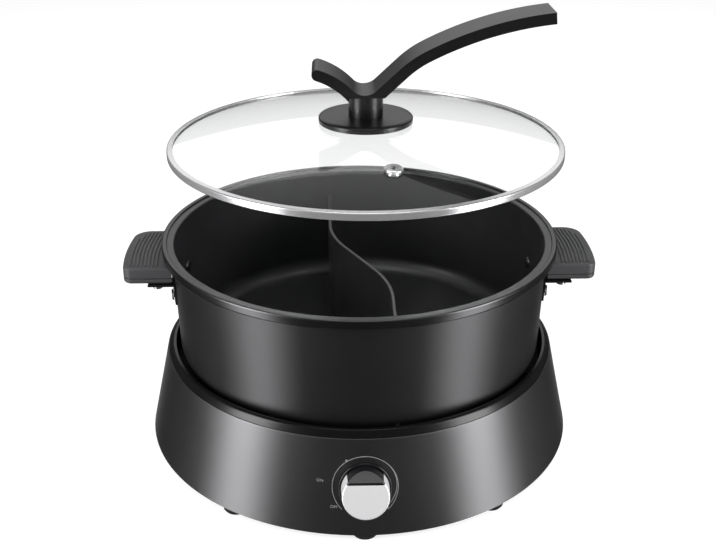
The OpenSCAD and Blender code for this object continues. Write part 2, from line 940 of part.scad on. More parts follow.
module inlet_screws() {
    color([0.7, 0.7, 0.72])
    inlet_screw_places()
        translate([0, 0, -ear_t])
            screw(screw_r - fit, ear_t + inlet_screw_len);
}

// ---- leads; their free stretches are chosen by hand ----
lead_r = 1.4;
// Height of a lead that lies on the bottom cover
lead_z = cover_top + lead_r + 0.6;
// Radius on which the long leads run round the heat shield
lead_run_r = cover_r - 50;
tab_y = inlet_back - blade_tab;
// Where the blades' tabs and the thermostat's tabs lie
tab_z = inlet_z + blade_rise;
earth_z = inlet_z - blade_rise;
stat_tab_x = 10;
stat_tab_z = dial_z - 8.5;
stat_tab_y = stat_rear_y(stat_tab_z + lead_r) + fit;
fuse_z = cover_top + 4;
fuse_r = 3.5;
fuse_len = 22;
fuse_y0 = 14;
fuse_y1 = fuse_y0 + fuse_len;
fuse_x = lead_run_r - 14;
pin_foot = pin_end - fit;

// Point of a long lead's run, at an angle counted from the front
function on_run(a, z) = [lead_run_r * sin(a), -lead_run_r * cos(a), z];

// A lead's first stretch from one of the two power blades; side is -1 or 1
function blade_route(side) = [
    [side * blade_x, tab_y - fit, tab_z],
    [side * blade_x, tab_y - 7, tab_z - 0.5],
    [side * (blade_x + 5), tab_y - 15, tab_z - 3.5],
    [side * (blade_x + 23), tab_y - 24, tab_z - 12.5]
];

// A lead's last stretch to one of the thermostat's tabs; side is -1 or 1
function stat_route(side) = [
    [side * (stat_tab_x + 5), stat_tab_y + 13, stat_tab_z - 4],
    [side * stat_tab_x, stat_tab_y + 7, stat_tab_z - 0.5],
    [side * stat_tab_x, stat_tab_y, stat_tab_z]
];

module live_lead() {
    color([0.45, 0.25, 0.12])
    tube(concat(
        blade_route(-1),
        [on_run(-152, lead_z + 3)],
        [for (a = [-130 : 20 : -50]) on_run(a, lead_z)],
        [on_run(-30, lead_z + 5), [-32, stat_tab_y + 19, stat_tab_z - 12]],
        stat_route(-1)
    ), lead_r);
}

module neutral_lead() {
    color([0.15, 0.30, 0.60])
    tube(concat(
        blade_route(1),
        [on_run(153, lead_z + 4), on_run(134, lead_z + 2), on_run(119, fuse_z)],
        [[fuse_x, fuse_y1 + 12, fuse_z], [fuse_x, fuse_y1 + fit, fuse_z]]
    ), lead_r);
}

module thermal_fuse() {
    color([0.88, 0.88, 0.84])
    translate([fuse_x, fuse_y0, fuse_z])
        rotate([-90, 0, 0])
            cylinder(h = fuse_len, r = fuse_r, $fn = 32);
}

module fuse_lead() {
    color([0.15, 0.30, 0.60])
    tube([
        [fuse_x, fuse_y0 - fit, fuse_z], [fuse_x, 0, fuse_z],
        [fuse_x - 4, -28, lead_z], [fuse_x - 20, -54, lead_z],
        [64, tail_y - 6, lead_z + 1], [36, tail_y - 9, lead_z + 5],
        [tail_x + 1, tail_y - 6, lead_z + 13], [tail_x, tail_y, pin_foot - 10],
        [tail_x, tail_y, pin_foot]
    ], lead_r);
}

module element_lead() {
    color([0.55, 0.12, 0.10])
    tube([
        [stat_tab_x, stat_tab_y, stat_tab_z], [stat_tab_x, stat_tab_y + 7, stat_tab_z - 0.5],
        [stat_tab_x - 2, stat_tab_y + 15, stat_tab_z - 5], [2, stat_tab_y + 27, lead_z + 9],
        [-6, tail_y - 33, lead_z + 3], [-14, tail_y - 17, lead_z + 5],
        [-tail_x + 3, tail_y - 5, lead_z + 13], [-tail_x, tail_y, pin_foot - 10],
        [-tail_x, tail_y, pin_foot]
    ], lead_r);
}

module earth_lead() {
    color([0.45, 0.60, 0.15])
    tube([
        [0, tab_y - fit, earth_z], [0, tab_y - 6, earth_z], [0, tab_y - 14, earth_z + 1],
        [0, tab_y - 22, earth_z + 4.5], [0, tab_y - 28, earth_z + 11.5],
        [0, tab_y - 30, earth_z + 18.5], [0, tab_y - 30, tray_floor - fit]
    ], lead_r);
}

// ================= pot =================

// Outline of the pot's outside, from the middle of its floor up to the rim
function pot_outside(extra) = concat(
    [[0, pot_z - extra]],
    arc([wall_r(pot_corner_r) - pot_corner_r, pot_z + pot_corner_r],
        pot_corner_r + extra, -90, 0, 10),
    [[pot_r + extra, pot_z + pot_h - rim_h - rim_cove]]
);

module pot_shell() {
    rim_z = pot_z + pot_h;
    inner_r = pot_r - pot_wall;
    inner_corner = [wall_r(pot_corner_r) - pot_corner_r, pot_z + pot_corner_r];
    color([0.14, 0.14, 0.15])
    difference() {
        rotate_extrude($fn = round_fn)
            polygon(concat(
                pot_outside(0),
                [
                    [rim_r - rim_round, rim_z - rim_h],
                    [rim_r, rim_z - rim_h + rim_round],
                    [rim_r, rim_z - rim_edge_h],
                    [rim_r - rim_edge_r, rim_z],
                    [lip_r + lip_slope, rim_z],
                    [lip_r, rim_z - seat_drop],
                    [inner_r + seat_edge, rim_z - seat_drop],
                    [inner_r, rim_z - seat_drop - seat_edge],
                    [inner_r, rim_z - rim_h - rim_cove]
                ],
                arc(inner_corner, pot_corner_r - pot_wall, 0, -90, 10),
                [[0, pot_z + pot_wall]]
            ));
        rivet_places()
            translate([0, 0, -2 * pot_wall])
                cylinder(h = 4 * pot_wall, r = rivet_r + fit, $fn = 32);
    }
}

// The space inside the pot, drawn in by the fit
module pot_inside() {
    inner_corner = [wall_r(pot_corner_r) - pot_corner_r, pot_z + pot_corner_r];
    rotate_extrude($fn = round_fn)
        polygon(concat(
            [[0, pot_z + pot_wall]],
            arc(inner_corner, pot_corner_r - pot_wall - fit, -90, 0, 10),
            [[pot_r - pot_wall - fit, pot_z + pot_h - rim_h], [0, pot_z + pot_h - rim_h]]
        ));
}

// One face of the S-shaped wall from above, front end first, at a distance
// to the right of the wall's middle
function divider_side(off) =
    let (bend_len = divider_bend_r * tan(divider_angle / 2),
         bend_y = divider_offset / tan(divider_angle) + bend_len,
         centre = [divider_bend_r - divider_offset, bend_y])
    concat(
        [[divider_offset + off, -pot_r]],
        arc(-centre, divider_bend_r + off, 0, divider_angle, 12),
        arc(centre, divider_bend_r - off, 180 + divider_angle, 180, 12),
        [[off - divider_offset, pot_r]]
    );

module divider() {
    color([0.12, 0.12, 0.12])
    intersection() {
        translate([0, 0, pot_z + pot_wall])
            linear_extrude(pot_h - pot_wall - divider_drop)
                polygon(concat(
                    divider_side(-divider_t / 2),
                    reversed(divider_side(divider_t / 2))
                ));
        pot_inside();
    }
}

// ---- handles; each is drawn for the right side, +X ----

// Frames on the right bracket's rivets, z pointing out of the pot
module rivet_frames() {
    for (s = [-1, 1])
        rotate([0, 0, s * rivet_angle])
            translate([wall_r(rivet_z - pot_z), 0, rivet_z])
                rotate([0, 90, 0])
                    children();
}

// The same on both sides of the pot
module rivet_places() {
    rivet_frames()
        children();
    mirror([1, 0, 0])
        rivet_frames()
            children();
}

module grip_outline() {
    half = grip_len / 2;
    union() {
        translate([0, -half + grip_front_r])
            square([grip_face, grip_len - grip_front_r - grip_rear_r]);
        translate([0, -half])
            square([grip_face - grip_front_r, grip_len / 2]);
        square([grip_face - grip_rear_r, half]);
        translate([grip_face - grip_front_r, -half + grip_front_r])
            circle(r = grip_front_r, $fn = 48);
        translate([grip_face - grip_rear_r, half - grip_rear_r])
            circle(r = grip_rear_r, $fn = 64);
    }
}

module grip() {
    inner = bracket_gap + bracket_t + fit;
    groove_x0 = grip_face - groove_margin;
    difference() {
        translate([0, 0, grip_under])
            linear_extrude(grip_t)
                grip_outline();
        rotate_extrude($fn = round_fn)
            polygon(concat(pot_outside(inner), [[0, pot_z + pot_h - rim_h - rim_cove]]));
        for (k = [0 : groove_count - 1])
            translate([
                groove_x0 - k * groove_pitch,
                groove_front - grip_len / 2,
                grip_top - groove_d
            ])
                cube([groove_w, grip_len - groove_front - groove_rear, groove_d + over]);
        translate([rim_r + grip_reach / 2 + scoop_shift, 0, grip_under - scoop_r + scoop_d])
            rotate([90, 0, 0])
                cylinder(h = grip_len - 2 * scoop_margin, r = scoop_r, center = true);
        for (s = [-1, 1])
            translate([grip_screw_x, s * grip_screw_y, grip_under - over])
                cylinder(h = grip_t - grip_roof + over, r = grip_screw_r + fit, $fn = 32);
    }
}

// Steel strap round the wall, with two riveted legs and two tabs for the grip
module bracket() {
    tab_w = 14;
    tab_tip = tab_w / 2;
    z0 = bracket_low;
    z1 = bracket_top;
    difference() {
        union() {
            rotate([0, 0, -bracket_half_angle])
                rotate_extrude(angle = 2 * bracket_half_angle, $fn = round_fn)
                    polygon([
                        [wall_r(z0 - pot_z) + bracket_gap, z0],
                        [wall_r(z0 - pot_z) + bracket_gap + bracket_t, z0],
                        [wall_r(z1 - pot_z) + bracket_gap + bracket_t, z1],
                        [wall_r(z1 - pot_z) + bracket_gap, z1]
                    ]);
            difference() {
                for (s = [-1, 1])
                    translate([0, s * grip_screw_y - tab_w / 2, tab_under])
                        cube([grip_screw_x + tab_tip, tab_w, bracket_t]);
                rotate_extrude($fn = round_fn)
                    polygon(concat(
                        pot_outside(bracket_gap + bracket_t / 2),
                        [[0, pot_z + pot_h - rim_h - rim_cove]]
                    ));
            }
        }
        translate([0, -leg_y + leg_w / 2, z0 - over])
            cube([rim_r, 2 * leg_y - leg_w, plate_low - z0 + over]);
        for (s = [-1, 1]) {
            translate([0, s * (leg_y + leg_w) - leg_w / 2, z0 - over])
                cube([rim_r, leg_w, plate_low - z0 + over]);
            translate([grip_screw_x, s * grip_screw_y, tab_under - over])
                cylinder(h = bracket_t + 2 * over, r = grip_screw_r + 2 * fit, $fn = 32);
        }
        rivet_frames()
            translate([0, 0, -over])
                cylinder(h = bracket_t + 4 * over, r = rivet_r + fit, $fn = 32);
    }
}

module right_handle() {
    color([0.20, 0.20, 0.21])
    grip();
}

module left_handle() {
    color([0.20, 0.20, 0.21])
    mirror([1, 0, 0])
        grip();
}

module right_bracket() {
    color([0.15, 0.15, 0.16])
    bracket();
}

module left_bracket() {
    color([0.15, 0.15, 0.16])
    mirror([1, 0, 0])
        bracket();
}

module handle_screws() {
    color([0.7, 0.7, 0.72])
    for (sx = [-1, 1], sy = [-1, 1])
        translate([sx * grip_screw_x, sy * grip_screw_y, tab_under])
            screw(grip_screw_r, bracket_t + grip_t - grip_roof - over, 2.3, 3.4);
}

module handle_rivets() {
    outer_face = bracket_gap + bracket_t + rivet_seat;
    inner_end = -pot_wall - rivet_seat - rivet_head_h;
    head_edge = 1.1;
    color([0.16, 0.16, 0.17])
    rivet_places() {
        translate([0, 0, inner_end])
            cylinder(h = outer_face - inner_end, r = rivet_r, $fn = 32);
        translate([0, 0, inner_end])
            cylinder(h = rivet_head_h, r1 = rivet_head_r - head_edge, r2 = rivet_head_r);
        translate([0, 0, outer_face])
            cylinder(h = rivet_head_h, r1 = rivet_head_r, r2 = rivet_head_r - head_edge);
    }
}

// ================= lid =================

module lid_glass() {
    steps = 18;
    half_angle = asin(glass_r / dome_r);
    centre = [0, dome_top - dome_r];
    color([0.80, 0.88, 0.88, 0.35])
    on_lid()
        difference() {
            rotate_extrude($fn = round_fn)
                polygon(concat(
                    arc(centre, dome_r, 90, 90 - half_angle, steps),
                    [[glass_r, glass_edge_top - glass_t]],
                    [for (i = [1 : steps]) [
                        glass_r * (1 - i / steps),
                        dome_z(glass_r * (1 - i / steps)) - glass_t
                    ]]
                ));
            translate([0, 0, glass_under - over])
                cylinder(h = glass_t + 2 * over, r = glass_hole_r);
            on_vent()
                translate([0, 0, -2 * glass_t])
                    cylinder(h = 3 * glass_t, r = vent_bore_r + vent_wall + fit);
        }
}

// Children in the vent's frame: z square to the glass, 0 on its upper face
module on_vent() {
    rotate([0, 0, vent_angle])
        translate([0, -vent_dist, dome_z(vent_dist)])
            rotate([asin(vent_dist / dome_r), 0, 0])
                children();
}

module vent_grommet() {
    barrel = vent_bore_r + vent_wall;
    flange_t = 1;
    flange_edge = 0.6;
    seat = 0.2;
    low_r = vent_flange_r - vent_wall;
    color([0.80, 0.80, 0.82])
    on_lid()
        on_vent()
            rotate_extrude()
                polygon([
                    [vent_bore_r, -glass_t - seat - flange_t],
                    [low_r, -glass_t - seat - flange_t],
                    [low_r, -glass_t - seat],
                    [barrel, -glass_t - seat],
                    [barrel, seat],
                    [vent_flange_r, seat],
                    [vent_flange_r - flange_edge / 2, seat + flange_edge],
                    [vent_flange_r - 2 * flange_edge, seat + flange_t],
                    [vent_bore_r, seat + flange_t]
                ]);
}

module lid_rim() {
    lip_in = band_r - band_w;
    edge_low = glass_edge_top - glass_t;
    edge = 0.5;
    color([0.70, 0.70, 0.72])
    on_lid()
        rotate_extrude($fn = round_fn)
            polygon([
                [lip_in, 0],
                [band_r - edge, 0],
                [band_r, edge],
                [band_r, band_h - edge],
                [band_r - edge, band_h],
                [lip_in, dome_z(lip_in) + fit + band_t],
                [lip_in, dome_z(lip_in) + fit],
                [band_r - band_t, glass_edge_top + fit],
                [band_r - band_t, edge_low - fit],
                [lip_in, edge_low - fit]
            ]);
}

module disc_gasket() {
    color([0.25, 0.25, 0.26])
    on_lid()
        difference() {
            translate([0, 0, dome_top + gasket_gap])
                cylinder(h = gasket_t, r = gasket_r);
            translate([0, 0, dome_top - over])
                cylinder(h = gasket_t + 2 * over, r = glass_hole_r);
        }
}

module handle_disc() {
    skirt_low = dome_z(disc_r - skirt_w) + fit;
    edge = 1.6;
    soft = 0.5;
    color([0.06, 0.06, 0.06])
    on_lid()
        rotate_extrude($fn = 96)
            polygon([
                [glass_hole_r, disc_under],
                [disc_r - skirt_w, disc_under],
                [disc_r - skirt_w, skirt_low],
                [disc_r, skirt_low],
                [disc_r, disc_top - edge],
                [disc_r - soft, disc_top - soft],
                [disc_r - edge, disc_top],
                [glass_hole_r, disc_top]
            ]);
}

// One limb of the handle: a straight root, then bends that flatten it out.
// bends is a list of [radius, steepness after the bend].
function limb_start(root, angle, length) = root + length * [cos(angle), sin(angle)];
function bend_centre(p, r, angle) = p + r * [sin(angle), -cos(angle)];
function bend_end(p, r, angle, after) = bend_centre(p, r, angle) + r * [-sin(after), cos(after)];
// Points along one side of the bends, off the limb's centre line by a distance
function bend_side(p, angle, bends, i, off) =
    i == len(bends) ? [] :
    let (r = bends[i][0], after = bends[i][1])
    concat(
        arc(bend_centre(p, r, angle), r + off, 90 + angle, 90 + after, 16),
        bend_side(bend_end(p, r, angle, after), after, bends, i + 1, off)
    );
function limb_tip(p, angle, bends, i) =
    i == len(bends) ? p :
    limb_tip(bend_end(p, bends[i][0], angle, bends[i][1]), bends[i][1], bends, i + 1);
function reversed(list) = [for (i = [len(list) - 1 : -1 : 0]) list[i]];

module limb(root, angle, length, bends) {
    p = limb_start(root, angle, length);
    across = bar_t / 2 * [-sin(angle), cos(angle)];
    polygon(concat(
        [root + across],
        bend_side(p, angle, bends, 0, bar_t / 2),
        reversed(bend_side(p, angle, bends, 0, -bar_t / 2)),
        [root - across]
    ));
}

// The tick-shaped handle from the side, y upwards
module handle_profile() {
    root_x = 4;
    root_drop = 5;
    short_drop = 4;
    root_z = column_top - root_drop;
    long_bends = [[long_bend_r, long_mid_angle], [long_outer_r, long_tip_angle]];
    short_bends = [[short_bend_r, short_tip_angle]];
    short_root = [root_x, root_z - short_drop];
    tip = limb_tip(
        limb_start(short_root, short_root_angle, short_root_len),
        short_root_angle, short_bends, 0
    );
    difference() {
        union() {
            limb([root_x, root_z], long_root_angle, long_root_len, long_bends);
            mirror([1, 0])
                limb(short_root, short_root_angle, short_root_len, short_bends);
            translate([-tip[0], tip[1]])
                circle(r = bar_t / 2, $fn = 48);
            translate([-2 * root_x, column_top - web_h])
                square([3.5 * root_x, 1.6 * web_h]);
        }
        translate([-2 * column_r, column_top - web_h - column_h])
            square([4 * column_r, column_h]);
    }
}

module lid_handle() {
    color([0.06, 0.06, 0.06])
    on_lid()
        difference() {
            union() {
                translate([0, 0, disc_top])
                    cylinder(h = column_h, r = column_r);
                rotate([90, 0, 0])
                    translate([0, 0, -bar_w / 2])
                        linear_extrude(bar_w)
                            handle_profile();
            }
            translate([0, 0, disc_top - over])
                cylinder(h = insert_h + over + fit, r = insert_r + fit);
        }
}

module handle_insert() {
    color([0.80, 0.68, 0.35])
    on_lid()
        difference() {
            translate([0, 0, disc_top])
                cylinder(h = insert_h, r = insert_r);
            translate([0, 0, disc_top - over])
                cylinder(h = insert_h + 2 * over, r = lid_screw_r + fit / 2);
        }
}

module lower_gasket() {
    color([0.25, 0.25, 0.26])
    on_lid()
        difference() {
            translate([0, 0, washer_top])
                cylinder(h = gasket_t, r = washer_r + over);
            translate([0, 0, washer_top - over])
                cylinder(h = gasket_t + 2 * over, r = lid_screw_r + seat_gap);
        }
}

washer_t = 1.2;
washer_top = glass_under - gasket_t - lower_gap;

module lid_washer() {
    color([0.75, 0.75, 0.77])
    on_lid()
        difference() {
            translate([0, 0, washer_top - washer_t])
                cylinder(h = washer_t, r = washer_r);
            translate([0, 0, washer_top - washer_t - over])
                cylinder(h = washer_t + 2 * over, r = lid_screw_r + seat_gap);
        }
}

module lid_screw() {
    color([0.75, 0.75, 0.77])
    on_lid()
        translate([0, 0, washer_top - washer_t])
            screw(lid_screw_r, disc_top + insert_h - 2 * over - washer_top + washer_t, 2.55, 3.2);
}

base_shell();
top_ring();
heat_tray();
tray_screws();
heating_plate();
plate_screws();
heating_element();
element_bushes();
heat_shield();
shield_screws();
sensor_bulb();
capillary();
bulb_clip();
thermostat_body();
thermostat_bush();
thermostat_nut();
dial_bezel();
inlet_housing();
inlet_pins();
inlet_screws();
live_lead();
neutral_lead();
thermal_fuse();
fuse_lead();
element_lead();
earth_lead();
bottom_cover();
cover_screws();
feet();
thermostat_shaft();
dial_knob();
dial_pointer();
pot_shell();
divider();
left_handle();
right_handle();
left_bracket();
right_bracket();
handle_screws();
handle_rivets();
lid_glass();
lid_rim();
vent_grommet();
handle_disc();
disc_gasket();
lid_handle();
handle_insert();
lower_gasket();
lid_washer();
lid_screw();
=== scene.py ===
import json
from math import asin, cos, pi, radians, sin, sqrt, tan

import bmesh
import bpy
from mathutils import Matrix, Vector


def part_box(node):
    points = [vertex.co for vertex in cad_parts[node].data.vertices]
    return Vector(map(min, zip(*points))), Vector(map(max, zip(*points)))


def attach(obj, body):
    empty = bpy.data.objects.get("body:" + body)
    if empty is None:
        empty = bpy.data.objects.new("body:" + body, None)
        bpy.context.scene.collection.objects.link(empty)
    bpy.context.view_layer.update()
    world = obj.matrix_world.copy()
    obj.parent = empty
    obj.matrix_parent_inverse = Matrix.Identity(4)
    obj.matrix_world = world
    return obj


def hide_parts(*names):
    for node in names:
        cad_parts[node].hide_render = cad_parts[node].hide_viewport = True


bl_info = {
    "name": "Hot pot looks",
    "version": (1, 0, 0),
    "blender": (4, 5, 0),
    "location": "View3D > Sidebar > Hot pot",
    "description": "Dresses the pieces of an electric hot pot: pot, lid, base, dial and studio",
    "category": "Object",
}

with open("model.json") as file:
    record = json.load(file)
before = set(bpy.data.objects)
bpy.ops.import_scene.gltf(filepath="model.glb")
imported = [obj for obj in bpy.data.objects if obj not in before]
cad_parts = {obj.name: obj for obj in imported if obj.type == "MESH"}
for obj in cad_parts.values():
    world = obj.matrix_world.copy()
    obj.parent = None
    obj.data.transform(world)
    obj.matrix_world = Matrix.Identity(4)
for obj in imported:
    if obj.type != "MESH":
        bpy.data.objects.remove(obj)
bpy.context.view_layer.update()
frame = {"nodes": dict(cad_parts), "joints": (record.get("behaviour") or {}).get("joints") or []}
NODES = frame["nodes"]

MM = 0.001
HAIR = 0.01 * MM            # two vertices less than this apart in a direction count as level
WELD = 0.001 * MM           # vertices closer than this are merged
FINE_WELD = 0.0001 * MM     # the same for cuts and print
SHARP = 1.0                 # an edge that turns by more radians than this is a sharp one


# ---------------------------------------------------------------- properties

def length(name, text, mm):
    """A size in millimetres as a Blender length."""
    return bpy.props.FloatProperty(
        name=name, description=text, default=mm * MM, min=0, precision=5, unit="LENGTH"
    )


def angle(name, text, degrees):
    """An angle in degrees as a Blender angle."""
    return bpy.props.FloatProperty(
        name=name, description=text, default=radians(degrees), subtype="ANGLE"
    )


def share(name, text, value):
    """A number from 0 to 1."""
    return bpy.props.FloatProperty(
        name=name, description=text, default=value, min=0, max=1, subtype="FACTOR"
    )


def colour(name, text, r, g, b):
    """A linear colour."""
    return bpy.props.FloatVectorProperty(
        name=name, description=text, default=(r, g, b), min=0, max=1, size=3, subtype="COLOR"
    )


class HotPotPot(bpy.types.PropertyGroup):
    """Sizes of the pot, its divider and its grips."""
    wall_taper: length("Wall taper", "How much narrower the wall is at its foot", 3.1)
    corner: length("Corner radius", "Round between the wall and the floor, outside", 17)
    wall: length("Wall", "Thickness of the wall and the floor", 2.8)
    rim_height: length("Rim height", "Height of the rolled rim", 7.2)
    rim_width: length("Rim width", "How far the rim stands out from the wall", 7.2)
    neck_round: length("Neck round", "Round where the wall meets the rim", 0.8)
    rim_round: length("Rim round", "Round of the rim's lower outer edge", 1.6)
    crown_round: length("Crown round", "Round of the rim's upper outer edge", 1.3)
    lip_width: length("Lip width", "Width of the rim's raised outer lip", 4.1)
    lip_round: length("Lip round", "Round of the lip's inner edge", 0.7)
    seat_drop: length("Seat drop", "How far the lid's seat lies below the rim's top", 1.4)
    seat_round: length("Seat round", "Round between the lip and the lid's seat", 0.3)
    mouth_round: length("Mouth round", "Round where the seat turns down into the pot", 1.5)
    divider_offset: length("Divider offset", "How far the divider's ends stand off the middle", 24)
    divider_angle: angle("Divider slant", "Slant of the divider's middle stretch", 27)
    divider_bend: length("Divider bend", "Radius of the divider's two bends", 110)
    divider_width: length("Divider width", "Thickness of the divider", 3)
    divider_edge: length("Divider edge", "Round of the divider's upper edges", 0.9)
    grip_front: length("Grip front corner", "Radius of the front outer corner", 6)
    grip_rear: length("Grip rear corner", "Radius of the rear outer corner", 12)
    grip_frame: length("Grip frame", "Width of the smooth frame round the ribs", 4)
    grip_bow: length("Grip bow", "How far the outer side bows out", 3.2)
    grip_edge: length("Grip edge", "Round of the grip's upper and lower edge", 2.2)
    grip_lower: length("Lower moulding", "Height of the grip's lower moulding", 4.4)
    grip_seam: length("Grip seam", "Width and depth of the groove round the grip", 0.8)
    grip_strap: length("Grip strap", "Gap for the bracket between the pot and the grip", 1.8)
    rib_count: bpy.props.IntProperty(
        name="Ribs", description="Number of ribs on a grip", default=8, min=1
    )
    rib_pitch: length("Rib pitch", "Distance between two ribs", 3)
    rib_width: length("Rib width", "Width of a rib", 1.9)
    rib_height: length("Rib height", "Height of a rib above the panel", 0.8)
    rib_root: length("Rib root", "How deep a rib is let into the panel", 0.5)
    rib_edge: length("Rib edge", "Round of a rib's edges", 0.4)
    rib_gap: length("Rib gap", "Gap between the ribs and the frame round them", 0.8)


class HotPotLid(bpy.types.PropertyGroup):
    """Sizes of the lid and its handle."""
    band_width: length("Band width", "Width of the steel band seen from above", 4.4)
    band_wall: length("Band wall", "Thickness of the band beside and below the glass", 0.7)
    band_round: length("Band round", "Round of the band's outer edges", 1.1)
    band_fall: length("Band fall", "How far the band's top falls to its outer side", 0.5)
    band_lip: length("Band lip", "Thickness of the band's upper lip", 0.6)
    band_lip_round: length("Band lip round", "Round of the upper lip's edge", 0.25)
    band_inside: length("Band inside", "How far the band's inner corner lies below its top", 1.3)
    glass_thickness: length("Glass", "Thickness of the glass", 3.8)
    glass_rise: length("Dome rise", "Rise of the glass from its edge to its middle", 17.5)
    glass_edge: length("Glass edge", "Round of the glass's edge", 1.4)
    glass_bore: length("Glass bore", "Radius of the hole in the glass's middle", 4)
    vent_bore: length("Vent hole", "Radius of the vent's hole in the glass", 4.2)
    disc_bore: length("Disc bore", "Radius of the hole in the disc", 4)
    disc_skirt: length("Disc skirt", "Width of the disc's skirt", 4)
    skirt_inside: length("Skirt inside", "Round of the skirt's lower inner edge", 0.2)
    skirt_outside: length("Skirt outside", "Round of the skirt's lower outer edge", 0.3)
    disc_shoulder: length("Disc shoulder", "Drop and round of the disc's shoulder", 1)
    disc_slope: length("Disc slope", "Width of the slope from the shoulder to the top", 3)
    disc_crown: length("Disc crown", "Round between the slope and the top", 1.2)
    column_radius: length("Column radius", "Radius of the handle's column", 13.5)
    column_height: length("Column height", "Height of the column above the disc", 19.5)
    root_reach: length("Root reach", "How far each limb's root stands off the column's middle", 4)
    long_drop: length("Long root depth", "How far the long limb's root lies below the top", 5)
    short_drop: length("Short root depth", "How far the short limb's root lies below the top", 9)
    web_depth: length("Web depth", "How deep the limbs are let into the column's top", 1.5)
    web_rise: length("Web rise", "How far the valley's floor stands above the column", 0.9)
    valley_round: length("Valley round", "Length of each round beside the valley's floor", 4.4)
    bar_edge: length("Bar edge", "Round of the bars' long edges", 1.8)
    bar_thickness: length("Bar thickness", "Thickness of the handle's limbs", 8.6)
    long_steep: angle("Long limb root", "Steepness where the long limb leaves the column", 43)
    long_root: length("Long limb straight", "Straight root of the long limb", 33)
    long_bend: length("Long limb first bend", "Radius of the long limb's first bend", 80)
    long_middle: angle("Long limb middle", "Steepness after the first bend", 27)
    long_outer: length("Long limb outer bend", "Radius of the outer stretch", 270)
    long_tip: angle("Long limb tip", "Steepness at the tip", 6)
    short_steep: angle("Short limb root", "Steepness where the short limb leaves the column", 50)
    short_root: length("Short limb straight", "Straight root of the short limb", 9)
    short_bend: length("Short limb bend", "Radius of the short limb's bend", 60)
    short_tip: angle("Short limb tip", "Steepness at the rounded tip", 18)


class HotPotBase(bpy.types.PropertyGroup):
    """Sizes of the base's ring, its dial and the printed scale."""
    ring_lap: length("Ring lap", "How far the ring reaches in under the pot's rim", 5.9)
    ring_skirt: length("Ring skirt", "Thickness of the ring's wall in the recess", 2.5)
    ring_collar: length("Ring collar", "Height of the ring's satin collar over the housing", 3)
    ring_edge: length("Ring edge", "Round of the satin collar's upper edge", 0.5)
    ring_step: length("Ring step", "Width of the step above the satin collar", 0.8)
    ring_rise: length("Ring rise", "How far that step rises inwards", 0.1)
    ring_crest: length("Ring crest", "Width of the ring's rounded crest", 3.6)
    crest_drop: length("Crest drop", "How far the crest's outer shoulder lies below its top", 0.9)
    crest_shoulder: length("Crest shoulder", "Round of the crest's outer shoulder", 1)
    crest_top: length("Crest top", "Width of the crest's nearly level top", 2.4)
    crest_fall: length("Crest fall", "How far that top falls outwards", 0.1)
    crest_round: length("Crest round", "Round of that top's two edges", 0.6)
    knob_radius: length("Knob radius", "Radius of the knob", 17.7)
    knob_taper: length("Knob taper", "How much narrower the knob is at its front", 0.5)
    knob_back: length("Knob back", "Height of the knob's back over the dial's centre", 2.1)
    knob_front: length("Knob front", "Height of the knob's front over the dial's centre", 18)
    knob_heel: length("Knob heel", "Round of the knob's rear edge", 0.3)
    knob_round: length("Knob round", "Round of the knob's front edge", 1.3)
    facet_start: length("Facet start", "How far above the knob's middle its facet starts", 11.5)
    facet_slope: angle("Facet slope", "Slope of the knob's pointer facet", 52)
    marker_thickness: length("Marker thickness", "Thickness of the black marker", 1.5)
    collar_bore: length("Collar bore", "Radius of the hole in the dial's collar", 4.6)
    collar_radius: length("Collar radius", "Radius of the dial's collar", 19.5)
    collar_front: length("Collar front", "Height of the collar over the dial's centre", 1.6)
    collar_round: length("Collar round", "Round of the collar's outer edge", 0.7)
    collar_lip: length("Collar lip", "Width of the collar's raised lip", 1.3)
    collar_sink: length("Collar sink", "How far the collar's face lies below its lip", 0.4)
    collar_chamfer: length("Collar chamfer", "Width of the slope from the lip to the face", 0.3)
    flange_radius: length("Flange radius", "Radius of the flange behind the collar", 21)
    flange_depth: length("Flange depth", "How far its back lies behind the dial's centre", 5.35)
    flange_height: length("Flange height", "Thickness of the flange", 1.4)
    scale_radius: length("Scale radius", "Radius of the printed arc round the knob", 24.2)
    scale_line: length("Scale line", "Width of the printed arc", 0.45)
    scale_end: angle("Scale end", "How far the arc goes past the top, to each side", 135)
    wedge_start: angle("Wedge start", "Where the second line leaves the arc, from the top", 30)
    wedge_width: length("Wedge width", "Greatest gap between the arc and the second line", 2.4)
    dot_angle: angle("Dot angle", "Where the dot stands beside the arc, from the top", -33)
    dot_radius: length("Dot radius", "Radius of the printed dot", 0.8)
    word_height: length("Word height", "Height of the printed words", 3.2)
    ink_thickness: length("Ink thickness", "Thickness of the printed ink", 0.12)


class HotPotColours(bpy.types.PropertyGroup):
    """Main colours of the finishes."""
    housing: colour("Housing", "Satin metallic black of the base", 0.120, 0.120, 0.123)
    ring: colour("Ring", "Black of the ring round the recess", 0.003, 0.003, 0.0032)
    enamel: colour("Pot outside", "Satin metallic black of the pot", 0.075, 0.075, 0.077)
    nonstick: colour("Pot inside", "Non-stick coating", 0.014, 0.014, 0.015)
    grip: colour("Grips", "Dark grey of the grips", 0.050, 0.050, 0.053)
    bakelite: colour("Lid handle", "Black of the lid's handle and disc", 0.004, 0.004, 0.0042)
    steel: colour("Steel", "Steel of the lid's band", 0.72, 0.72, 0.73)
    knob: colour("Knob", "Silver of the knob", 0.80, 0.80, 0.81)
    gloss: colour("Gloss black", "Collar and marker of the dial", 0.008, 0.008, 0.009)
    rubber: colour("Rubber", "Feet", 0.012, 0.012, 0.012)
    ink: colour("Ink", "Printed marks", 0.26, 0.26, 0.26)
    glass: colour("Glass", "Tint of the lid's glass", 0.925, 0.935, 0.93)


